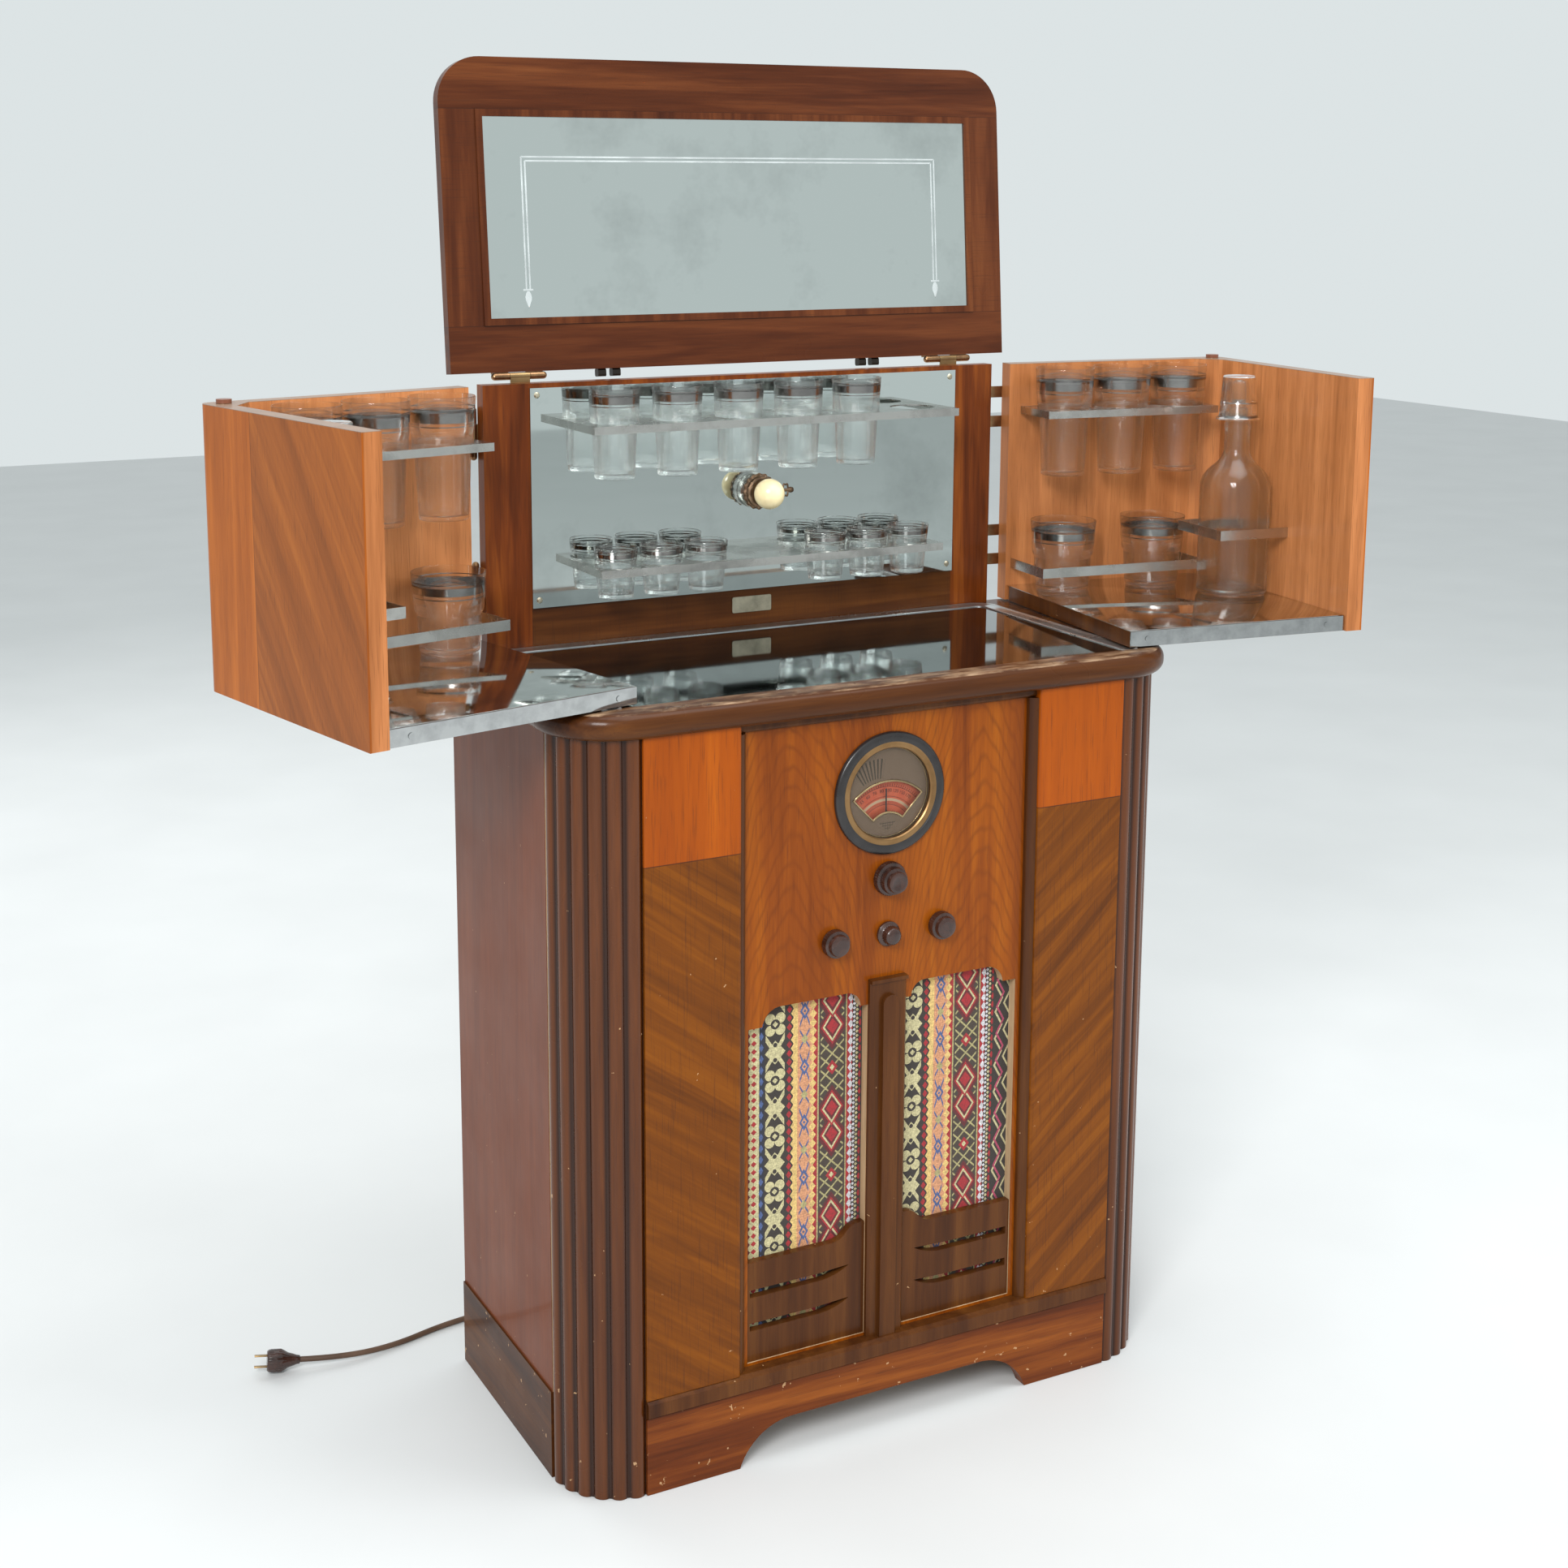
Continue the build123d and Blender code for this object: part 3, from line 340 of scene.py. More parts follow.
def stile_wood():
    """Upright orange veneer above, and a chevron pair of slanting veneer below."""
    s = Shader("stile_veneer")
    up, pores, streak = grain(s, ORANGE, "z", figure=0.2)
    left, _, _ = grain(s, OLIVE, "x", ((0, -radians(36), 0),), 0.5)
    right, _, _ = grain(s, OLIVE, "x", ((0, radians(40), 0),), 0.6)
    x, y, z = s.axes(s.place())
    slant = s.mix(s.over(x, 0.0), left, right)
    colour = s.mix(s.over(z, VENEER_SPLIT), slant, up)
    colour = seam(s, s.band(z, VENEER_SPLIT - 0.0006, VENEER_SPLIT + 0.0006), colour)
    behind = s.over(y, low("control_panel").y)
    return finish_wood(s, raw(s, colour, behind), pores, streak, 0.3, 0.35)


def wing_wood(name, side):
    """Straight band beside the corner, then slanting veneer on the front board; upright inside, in tones
    lightened with painted bounce light.
    """
    undo = (0, 0, LEFT_TURN if side < 0 else -RIGHT_TURN)
    pivot = (-side * PIVOT_X, -PIVOT_Y, 0)
    s = Shader(name)
    across, back, z = s.axes(s.place(turns=(undo,), shift=pivot))
    inward = s.times(across, -side)
    # inside faces take the lighter tones, with painted bounce light
    upright, pores, streak = grain(s, INSIDE_BOUNCE_LIT, "z", (undo,), 0.2, pivot)
    band, _, _ = grain(s, WING, "z", (undo,), 0.15, pivot)
    slant, _, _ = grain(s, WING, "x", (undo, (0, radians(56) * side, 0)), 0.35, pivot)
    front = s.under(back, -WING_FACE)
    start, end = WING_BAND, WING_BAND + 0.217
    slant = s.mix(0.35, slant, (0.12, 0.045, 0.014))
    colour = s.mix(front, upright, s.mix(s.band(inward, start, end), band, slant))
    colour = seam(s, s.times(front, s.band(inward, start - 0.0008, start)), colour)
    edge = s.span(z, high("back_panel").z - 0.0007, high("back_panel").z - 0.0003)
    colour = s.mix(s.times(edge, 0.75), colour, (0.19, 0.16, 0.13))
    return finish_wood(s, colour, pores, streak, 0.28)


def lid_wood():
    """Cross rails and upright stiles round the mirror."""
    s = Shader("lid_frame")
    undo, pivot = (LID_TURN, 0, 0), tuple(-LID_PIVOT)
    rail, pores, streak = grain(s, LID, "x", (undo,), 0.3, pivot)
    stile, _, _ = grain(s, LID, "y", (undo,), 0.3, pivot)
    _, reach, _ = s.axes(s.place(turns=(undo,), shift=pivot))
    between = s.band(reach, LID_FAR, LID_NEAR)
    colour = s.mix(between, rail, stile)
    joints = s.math("MAXIMUM", s.band(reach, LID_FAR - 0.0005, LID_FAR + 0.0003),
                    s.band(reach, LID_NEAR - 0.0003, LID_NEAR + 0.0005))
    return finish_wood(s, seam(s, joints, colour), pores, streak, 0.26)


def counter_wood():
    """Dark bullnose, with the lacquer worn through along the flat strip at the front."""
    s = Shader("counter_edge")
    colour, pores, streak = grain(s, DARK, "x", (), 0.5)
    x, y, z = s.axes(s.place())
    top = s.over(z, high("counter_top").z - 0.0015)
    strip = s.times(top, s.span(y, -0.1445, -0.158))
    patch = s.span(s.noise(s.place((0.35, 1, 1)), 60, 5, 0.68), 0.42, 0.62)
    bare = s.ramp(s.noise(s.place((0.2, 1, 1)), 180, 3, 0.6), (0.3, (0.2, 0.11, 0.06)),
                  (0.7, (0.42, 0.28, 0.17)))
    colour = s.mix(s.times(s.times(strip, patch), 0.85), colour, bare)
    return finish_wood(s, colour, pores, streak, 0.24)


def plinth_wood():
    """Red-brown at the front, nearly black at the sides, scuffed near the floor."""
    s = Shader("plinth_board")
    front, pores, streak = grain(s, RED, "x", (), 0.4)
    side, _, _ = grain(s, DARK, "y", (), 0.4)
    y = s.axes(s.place())[1]
    return finish_wood(s, s.mix(s.over(y, -0.12), front, side), pores, streak,
                       0.36, 0.8)


def bar_wood():
    """Upright boards at both sides of the mirror, a dark strip under it."""
    s = Shader("bar_back")
    red, pores, streak = grain(s, RED, "z", (), 0.5)
    dark, _, _ = grain(s, DARK, "x", (), 0.4)
    x, y, z = s.axes(s.place())
    under = s.times(s.under(z, low("back_mirror").z),
                   s.band(x, low("back_mirror").x, high("back_mirror").x))
    behind = s.over(y, high("back_panel").y - 0.0005)
    plain, _, _ = grain(s, PALE, "x", (), 0.3)
    return finish_wood(s, s.mix(behind, s.mix(under, red, dark), plain), pores, streak, 0.3)


# -------- metal, glass, other surfaces
def wing_fittings():
    """Chrome on the shelf edge, aged brass hinges, and a brown pad on top of the corner."""
    s = Shader("wing_fittings")
    z = s.axes(s.place())[2]
    age = s.cloud(60, 4, 0.6)
    brass = s.ramp(age, (0.35, (0.36, 0.22, 0.11)), (0.7, (0.16, 0.09, 0.05)))
    chrome = s.ramp(age, (0.4, (0.5, 0.51, 0.51)), (0.75, (0.36, 0.37, 0.37)))
    hinge = s.over(z, WING_SHELF + 0.001)
    pad = s.over(z, high("back_panel").z + 0.0005)
    colour = s.mix(hinge, chrome, brass)
    s.set("Base Color", s.mix(pad, colour, (0.18, 0.06, 0.03)))
    s.set("Metallic", s.minus(1.0, pad))
    return s.set("Roughness", s.times(hinge, 0.22, 0.07))


def lid_fittings():
    """Aged brass hinges, and two pairs of dark brackets between them."""
    s = Shader("lid_fittings", Metallic=1.0)
    x = s.size(s.axes(s.place())[0])
    age = s.cloud(60, 4, 0.6)
    brass = s.ramp(age, (0.35, (0.42, 0.24, 0.12)), (0.7, (0.18, 0.1, 0.055)))
    s.set("Base Color", s.mix(s.under(x, 0.22), brass, (0.05, 0.042, 0.036)))
    s.set("Roughness", s.span(age, 0.3, 0.7, (0.24, 0.38)))
    return s


def metal(name, colour, rough, scale=60, wear=0.1, tint=None):
    s = Shader(name, Metallic=1.0)
    cloud = s.cloud(scale * 0.25, 5, 0.62)
    scratch = s.noise(s.place((1, 1, 14)), scale * 6, 2, 0.6)
    dull = tint or tuple(c * 0.55 for c in colour)
    s.set("Base Color", s.mix(s.span(cloud, 0.42, 0.72), colour, dull))
    s.set("Roughness", s.times(s.span(cloud, 0.3, 0.7), wear, rough))
    return s.bump(scratch, 0.05, 0.0002)


def mirror_glass(name, colour, rough=0.015):
    s = Shader(name, Metallic=1.0)
    age = s.cloud(7, 5, 0.7)
    s.set("Base Color", s.mix(s.span(age, 0.5, 0.85), colour, tuple(c * 0.72 for c in colour)))
    s.set("Roughness", s.span(age, 0.35, 0.8, (rough, rough + 0.05)))
    return s


def clear(name, tint=(0.97, 0.99, 0.985), rough=0.0, ior=1.4, alpha=0.55):
    s = Shader(name, Roughness=rough, IOR=ior, Alpha=alpha)
    s.set("Transmission Weight", 1.0)
    smear = s.cloud(60, 2, 0.5)
    s.set("Base Color", s.mix(s.span(smear, 0.5, 0.8), tint, tuple(c * 0.97 for c in tint)))
    return s


def enamel(name, colour, rough=0.35, bumpy=0.05, scale=500):
    s = Shader(name)
    grit = s.cloud(scale, 3, 0.55)
    soft = s.cloud(18, 4, 0.6)
    lighter = tuple(min(1, c * 1.6 + 0.01) for c in colour)
    s.set("Base Color", s.mix(s.span(soft, 0.4, 0.75), colour, lighter))
    s.set("Roughness", s.span(soft, 0.3, 0.8, (rough, rough + 0.15)))
    return s.bump(grit, bumpy, 0.0003)


def bakelite(name):
    s = Shader(name)
    swirl = s.cloud(45, 4, 0.6, 2.0)
    dark, light = (0.016, 0.006, 0.004), (0.055, 0.02, 0.013)
    s.set("Base Color", s.ramp(s.span(swirl, 0.3, 0.75), (0, dark), (1, light)))
    s.set("Roughness", s.span(swirl, 0.3, 0.7, (0.2, 0.34)))
    s.set("Coat Weight", 0.3).set("Coat Roughness", 0.1)
    return s.bump(s.cloud(900, 2), 0.03, 0.0002)


# -------- the woven grille cloth
CLOTH_PERIOD = 173.3          # width of the cloth's repeat, in mm


class Weave(Shader):
    """The cloth's bands, built from masks over the across (u) and along (v) places. Sizes are in mm."""

    def setup(self):
        x, _, self.v = self.axes(self.place())
        start = 170 + 2 * CLOTH_PERIOD
        self.u = self.modulo(self.plus(x, start * MM), CLOTH_PERIOD * MM)
        self.colour = (0.012, 0.012, 0.02)
        return self

    def wrap(self, pitch, phase=0.0):
        """Distance from the middle of the nearest repeat along the cloth."""
        w = self.modulo(self.plus(self.v, (phase + 8 * pitch) * MM), pitch * MM)
        return self.size(self.minus(w, pitch / 2 * MM))

    def off(self, centre):
        return self.size(self.minus(self.u, centre * MM))

    def lay(self, mask, colour):
        self.colour = self.mix(mask, self.colour, colour)

    def stripe(self, lo, hi, colour):
        self.lay(self.band(self.u, lo * MM, hi * MM), colour)

    def diamonds(self, centre, pitch, tall, wide, colour, phase=0.0, hollow=0.0):
        d = self.plus(self.math("DIVIDE", self.wrap(pitch, phase), tall * MM),
                      self.math("DIVIDE", self.off(centre), wide * MM))
        mask = self.under(d, 1.0)
        if hollow:
            mask = self.times(mask, self.over(d, hollow))
        self.lay(mask, colour)

    def zigzag(self, centre, swing, thick, colour, phase=0.0, pitch=32):
        start = (centre - swing) * MM
        path = self.times(self.wrap(pitch, phase), 4 * swing / pitch, start)
        self.lay(self.under(self.size(self.minus(self.u, path)), thick * MM), colour)

    def petals(self, centre, pitch, phase, across, along, r, colour):
        """Four round petals about the middle of a repeat."""
        a = self.minus(self.off(centre), across * MM)
        b = self.minus(self.wrap(pitch, phase), along * MM)
        self.lay(self.under(self.squares(a, b), (r * MM) ** 2), colour)

    def arms(self, centre, pitch, phase, steep, thick, half, colour):
        """Slanting arms to the four corners of a repeat."""
        line = self.times(self.off(centre), -steep, self.wrap(pitch, phase))
        near = self.under(self.size(line), thick * MM)
        self.lay(self.times(near, self.under(self.off(centre), half * MM)), colour)


CREAM, CRIMSON, NAVY = (0.66, 0.59, 0.32), (0.42, 0.011, 0.02), (0.012, 0.018, 0.04)
PEACH, STEEL_BLUE, YELLOW = (0.74, 0.34, 0.17), (0.07, 0.12, 0.3), (0.85, 0.58, 0.2)
BROWN, WHITE, PINK = (0.055, 0.037, 0.025), (0.76, 0.73, 0.76), (0.52, 0.06, 0.14)
BLACK, STRAW, WINE = (0.03, 0.022, 0.018), (0.47, 0.41, 0.18), (0.13, 0.008, 0.012)


def cloth_material():
    s = Weave("grille_cloth_weave", Roughness=0.85).setup()
    s.stripe(0, 7, WINE)
    s.stripe(7, 20, CREAM)
    s.diamonds(7, 9.2, 3, 2.4, WINE)
    s.diamonds(13.5, 9.2, 3.3, 3.5, CRIMSON)
    s.stripe(20, 26, NAVY)
    s.diamonds(22.4, 12.8, 5, 2.8, STEEL_BLUE)
    s.stripe(26, 61, BLACK)
    flower, pitch = 39.3, 64
    s.petals(flower, pitch, -11, 6.2, 6.6, 6.1, CREAM)
    s.petals(flower, pitch, -11, 0.0, 0.0, 5.6, BLACK)
    s.diamonds(flower, pitch, 3.4, 3.4, CREAM, -11)
    s.arms(flower, pitch, 21, 1.5, 3.9, 11.6, CREAM)
    s.diamonds(flower, pitch, 13.5, 12.5, CREAM, 21)
    s.petals(flower, pitch, 21, 0.0, 8.6, 2.5, BLACK)
    s.diamonds(56.6, 10, 4.4, 3.2, CRIMSON)
    s.stripe(61.5, 67, YELLOW)
    s.diamonds(61.5, 10, 4.2, 3, YELLOW, 5)
    s.stripe(67, 86, PEACH)
    motif = 75.5
    s.diamonds(motif, pitch, 10, 6, STEEL_BLUE, -20, 0.5)
    s.arms(motif, pitch, -20, 2.6, 2.4, 6, STEEL_BLUE)
    s.diamonds(motif, pitch, 5, 3.4, PEACH, -20)
    s.diamonds(motif, pitch, 1.8, 1.8, STEEL_BLUE, -20)
    s.arms(motif, pitch, 12, 1.7, 1.7, 6, STEEL_BLUE)
    s.diamonds(motif, pitch, 6, 4.4, STRAW, 12)
    s.stripe(86, 91.8, CRIMSON)
    s.diamonds(86, 10, 5.4, 4.4, YELLOW)
    s.stripe(91.8, 127, BROWN)
    c, repeat = 110, 125
    for phase in (0, 15.6, 31.2, 46.8):
        s.arms(c, 62.5, phase - 23, 0.95, 1.25, 14.5, STRAW)
    lozenges = (-39, 55.5)
    for phase in lozenges:
        s.diamonds(c, repeat, 27, 19, WINE, phase)
    for phase in lozenges:
        s.diamonds(c, repeat, 21, 14.5, CRIMSON, phase, 0.84)
        s.diamonds(c, repeat, 17.6, 12.2, CREAM, phase, 0.8)
        s.diamonds(c, repeat, 14, 9.8, WINE, phase)
        s.diamonds(c, repeat, 9, 7.4, CRIMSON, phase)
    s.diamonds(c, repeat, 8.5, 7, CRIMSON, 8.5)
    s.diamonds(c, repeat, 3.6, 3, CREAM, 8.5)
    s.stripe(91.8, 93.6, STRAW)
    s.stripe(126.6, 128.2, STRAW)
    s.stripe(128.2, 135.2, CRIMSON)
    s.diamonds(133, 10, 5, 3.6, WHITE)
    s.stripe(135.2, 146, BLACK)
    s.diamonds(137.3, 5, 2, 2.1, WHITE)
    s.diamonds(140.9, 5, 2, 2.1, CREAM, 2.5)
    s.diamonds(144.8, 10, 4.4, 2.4, CRIMSON)
    s.stripe(146, CLOTH_PERIOD, BLACK)
    s.zigzag(153.5, 4.5, 1.3, CREAM, 9)
    s.zigzag(155.5, 4.5, 1.3, PINK, 3)
    s.zigzag(165, 4.5, 1.2, CREAM)
    threads = s.noise(s.place((1, 1, 0.18)), 1500, 2, 0.5)
    weft = s.noise(s.place((0.18, 1, 1)), 1500, 2, 0.5)
    fabric = s.plus(threads, weft)
    shade = s.span(fabric, 0.75, 1.25, (0.1, 0.62))
    s.set("Base Color", s.mix(shade, s.colour, (0.02, 0.015, 0.012)))
    s.set("Sheen Weight", 0.25)
    return s.bump(fabric, 0.5, 0.0006)


# -------- mesh helpers
def mm(points):
    return [tuple(v * MM for v in p) for p in points]


def add_piece(name, data, body, shaders, replaced=()):
    piece = linked(name, data)
    for shader in shaders:
        data.materials.append(shader.mat)
    if replaced:
        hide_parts(*replaced)
    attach(piece, body)
    return piece


def turned(name, body, shaders, replaced, profile, at, *how, **more):
    """A piece turned from a profile in millimetres."""
    return add_piece(name, lathe_mesh(name, mm(profile), at, *how, **more), body, shaders, replaced)


def smooth(data, degrees=32):
    data.shade_smooth()
    data.set_sharp_from_angle(angle=radians(degrees))


def placed(data, matrix):
    """Moves a mesh; a mirrored one gets its faces turned round again."""
    if matrix is not None:
        data.transform(matrix)
        if matrix.determinant() < 0:
            data.flip_normals()


def mesh(name, verts, faces, kinds=None, degrees=32, matrix=None):
    data = bpy.data.meshes.new(name)
    data.from_pydata(verts, [], faces)
    if kinds:
        data.polygons.foreach_set("material_index", kinds)
    placed(data, matrix)
    smooth(data, degrees)
    data.update()
    return data


def lathe_mesh(name, profile, at, point=(0, 0, 1), sides=56, kinds=None, shape=None, degrees=32):
    """Turns a profile of (radius, height) about an axis; shape(radius, height, angle) may flute it."""
    verts, rings, faces, kind = [], [], [], []
    for r, h in profile:
        if r < 1e-7:
            rings.append([len(verts)])
            verts.append((0, 0, h))
            continue
        start = len(verts)
        for k in range(sides):
            a = 2 * pi * k / sides
            q = shape(r, h, a) if shape else r
            verts.append((q * cos(a), q * sin(a), h))
        rings.append(range(start, start + sides))
    for i, (a, b) in enumerate(zip(rings, rings[1:])):
        if len(a) == 1 and len(b) == 1:
            continue
        for k in range(sides):
            n = (k + 1) % sides
            if len(a) == 1:
                faces.append((a[0], b[n], b[k]))
            elif len(b) == 1:
                faces.append((a[k], a[n], b[0]))
            else:
                faces.append((a[k], a[n], b[n], b[k]))
            kind.append(kinds[i] if kinds else 0)
    turn = Vector((0, 0, 1)).rotation_difference(Vector(point)).to_matrix().to_4x4()
    return mesh(name, verts, faces, kind, degrees, Matrix.Translation(at) @ turn)


def slabs(name, boxes, matrix=None, bevel=0.0004):
    """Slightly rounded boxes in one mesh; each is a pair of corners."""
    bm = bmesh.new()
    for lo, hi in boxes:
        lo, hi = Vector(lo), Vector(hi)
        place = Matrix.Translation((lo + hi) / 2) @ Matrix.Diagonal((*(hi - lo), 1))
        bmesh.ops.create_cube(bm, size=1, matrix=place)
    if bevel:
        bmesh.ops.bevel(bm, geom=bm.edges[:], offset=bevel, segments=2, affect="EDGES", profile=0.5)
    data = bpy.data.meshes.new(name)
    bm.to_mesh(data)
    bm.free()
    placed(data, matrix)
    smooth(data)
    return data


def swept(name, path, profile):
    """A section carried along a plan path; profile points are (outward, height)."""
    verts, faces = [], []
    n, m = len(path), len(profile)
    for i, (x, y) in enumerate(path):
        a = Vector(path[max(i - 1, 0)])
        b = Vector(path[min(i + 1, n - 1)])
        way = (b - a).normalized()
        out = Vector((-way.y, way.x))
        for offset, z in profile:
            verts.append((x + out.x * offset, y + out.y * offset, z))
    for i in range(n - 1):
        for k in range(m):
            q = (k + 1) % m
            faces.append((i * m + k, (i + 1) * m + k, (i + 1) * m + q, i * m + q))
    faces.append(tuple(range(m)))
    faces.append(tuple(reversed(range((n - 1) * m, n * m))))
    return mesh(name, verts, faces, None, 40)


def wing_matrix(side):
    """From the closed left wing to where a wing stands open."""
    turn = LEFT_TURN if side < 0 else RIGHT_TURN
    pivot = Vector((side * PIVOT_X, PIVOT_Y, 0))
    move = Matrix.Translation(pivot) @ Matrix.Rotation(side * turn, 4, "Z") @ Matrix.Translation(-pivot)
    return move if side < 0 else move @ Matrix.Scale(-1, 4, (1, 0, 0))


def wing_spot(side, a, b, z):
    """A place on a wing: a runs forward from its rear edge when closed, b inward from its side."""
    return wing_matrix(side) @ Vector((-BAR_HALF + b, BAR_FACE - a, z))


def lid_matrix():
    """From the closed lid to where it stands open."""
    move = Matrix.Translation(LID_PIVOT)
    return move @ Matrix.Rotation(-LID_TURN, 4, "X") @ move.inverted()


# -------- glassware
def tumbler(name, at, body, rim, base, height, step, bands):
    """A straight-sided bar glass with a thick foot, an optional step, and metal bands below the rim.

    The bands are one broad band between two fine lines; each is (top, bottom) below the rim."""
    rim, base = rim / 2, base / 2
    wall, foot = 1.3, 4.5
    at_step = step or height * 0.5
    lean = (rim - base) / height
    outer = [(0, 0.8), (base - 4, 0.8), (base - 1.6, 0), (base - 0.4, 0.5), (base, 2)]
    if step:
        low_r = base + lean * at_step * 0.6
        outer += [(low_r, at_step - 5), (low_r - 0.4, at_step - 3.4), (low_r + 1.6, at_step),
                  (low_r + 2.6, at_step + 3)]
    ends = [height - edge for band in bands for edge in band][::-1]
    first = len(outer)
    outer += [(base + (rim - base) * (h / height), h) for h in ends]
    outer += [(rim, height - 1), (rim - 0.3, height - 0.2), (rim - 0.8, height)]
    inner = [(rim - wall, height - 0.5), (rim - wall, ends[0])]
    if step:
        inner += [(low_r + 2.6 - wall, at_step + 2), (low_r - wall - 0.4, at_step - 4)]
    inner += [(base - wall - 0.5, foot + 2.5), (base - wall - 3, foot + 0.4), (0, foot)]
    profile = outer + inner
    kinds = [0] * (len(profile) - 1)
    for k in range(first, first + len(ends), 2):
        kinds[k] = 1
    return turned(name, body, (GLASS, PLATINUM), (), profile, at, sides=48, kinds=kinds, degrees=28)


def glasses():
    rack_y = low("upper_glass_rack").y + 0.039
    for k, x in enumerate((-195, -117, -39, 39, 117)):
        tumbler(f"tumbler_{k + 1}", (x * MM, rack_y, 1.054), "cabinet", 59, 46, 102, 62,
                ((6, 7), (9, 17), (19.5, 20.5)))
    shot_y = low("lower_glass_rack").y + 0.032
    for k, x in enumerate((-193, -136, -79, 79, 136, 193)):
        tumbler(f"shot_glass_{k + 1}", (x * MM, shot_y, 0.917), "cabinet", 51, 40, 58, None,
                ((3.5, 4.5), (6, 10.5), (12.5, 13.3)))
    for side, word in SIDES:
        for k in range(3):
            at = wing_spot(side, 0.058 + 0.08 * k, 0.058, 1.024)
            tumbler(f"{word}_highball_{k + 1}", at, f"{word}_wing", 73, 54, 133, 80,
                    ((12, 13), (16, 27), (30.5, 31.7)))
        for k, a in enumerate((0.058, 0.185)):
            at = wing_spot(side, a, 0.064, WING_SHELF + 0.0008)
            tumbler(f"{word}_old_fashioned_{k + 1}", at, f"{word}_wing", 82, 66, 87, 44,
                    ((9, 10), (13, 22), (25.5, 26.7)))


def decanters():
    shape = [(0, 1.5), (34, 1.5), (38, 0.2), (41, 0.6), (43, 4), (43, 133), (42.4, 139), (40, 146),
             (34, 154), (25, 162), (19, 169), (16.4, 176), (15.6, 184), (15.6, 205), (16.6, 207),
             (16.6, 210), (15.4, 212), (15.4, 231.2), (14.8, 232)]
    inner = [(12.8, 231.6), (12.6, 184), (14.5, 174), (21.5, 163.5), (31.5, 153), (37.5, 143),
             (40, 134), (40, 9), (37, 6), (0, 6.8)]
    cap = [(0, 269.3), (16.5, 269.3), (18.6, 269.8), (19.8, 268.4), (21.6, 242), (22, 238),
           (22.6, 237), (23, 222), (24.2, 219.6), (26.6, 218.6), (26.8, 217), (25.6, 216.6),
           (17, 216.8), (16.4, 232.4), (13, 232.6), (11.6, 261), (8, 264), (0, 264.5)]
    tone = [0] * (len(cap) - 1)
    tone[5] = tone[7] = 1
    for side, word in SIDES:
        at = wing_spot(side, 0.244, 0.158, WING_SHELF)
        turned(f"{word}_bottle", f"{word}_decanter", (BOTTLE,), (f"{word}_decanter",), shape + inner,
               at, sides=72, degrees=30)
        turned(f"{word}_measure", f"{word}_jigger", (BOTTLE, PLATINUM), (f"{word}_jigger",), cap, at,
               sides=56, kinds=tone, degrees=30)


# -------- knobs
def fluted(count, depth, inner, lo, hi):
    """Fine ribs round the part of a knob between two heights and outside a radius."""
    def shape(r, h, a):
        if r > inner * MM and lo * MM <= h <= hi * MM:
            return r - depth * MM * (0.5 - 0.5 * cos(count * a))
        return r
    return shape


def knobs():
    face = low("control_panel").y
    axis = (0, -1, 0)
    tuning = [(0, 1), (18, 1), (18.8, 1.5), (19, 2.4), (19, 7), (18.4, 8.2), (16.4, 8.9), (15.4, 9.2),
              (15.2, 10), (15.2, 16), (14.6, 17), (12.6, 17.4), (11.9, 17.7), (11.8, 18.4),
              (11.8, 22), (11.2, 23.3), (9.6, 23.9), (8, 23.8), (5, 22.9), (0, 22.5)]
    turned("tuning_grip", "tuning", (BAKELITE,), ("tuning_knob",), tuning,
           (0, face, middle("tuning_knob").z), axis, 180, shape=fluted(45, 0.7, 14, 2, 16.5),
           degrees=40)
    side = [(0, 1), (14.6, 1), (15.3, 1.5), (15.5, 2.4), (15.5, 8.2), (15, 9.6), (13.2, 10.6),
            (12.3, 11), (12.1, 11.8), (12, 14.6), (11.2, 16), (9, 16.8), (6, 17), (0, 16.9)]
    for name in ("volume", "band"):
        spot = middle(f"{name}_knob")
        turned(f"{name}_grip", name, (BAKELITE,), (f"{name}_knob",), side, (spot.x, face, spot.z), axis,
               144, shape=fluted(36, 0.6, 12.5, 2, 9), degrees=40)
    centre = [(0, 1), (13.2, 1), (13.9, 1.5), (14, 2.2), (13.8, 4.2), (12.6, 5.2), (10.8, 6),
              (10.2, 7), (10.1, 12.4), (9.3, 14.6), (7.4, 16.1), (4.6, 16.8), (0, 17)]
    turned("tone_grip", "tone", (BAKELITE,), ("tone_knob",), centre, (0, face, middle("tone_knob").z),
           axis, 96, shape=fluted(24, 0.5, 9, 7, 12.5), degrees=40)


# -------- dial
def sector(centre_z, y, inner, outer, half, steps=18):
    """Points round the edge of the dial's window."""
    points = []
    for r, sign in ((outer, 1), (inner, -1)):
        for k in range(steps + 1):
            a = radians(half) * sign * (2 * k / steps - 1)
            points.append((r * sin(a), y, centre_z + r * cos(a)))
    return points


def wire(name, points, r, body, shader):
    """A closed loop of round wire."""
    data = bpy.data.curves.new(name, "CURVE")
    data.dimensions, data.bevel_depth, data.bevel_resolution = "3D", r, 3
    line = data.splines.new("POLY")
    line.points.add(len(points) - 1)
    for p, q in zip(line.points, points):
        p.co = (*q, 1)
    line.use_cyclic_u = True
    return add_piece(name, data, body, (shader,))


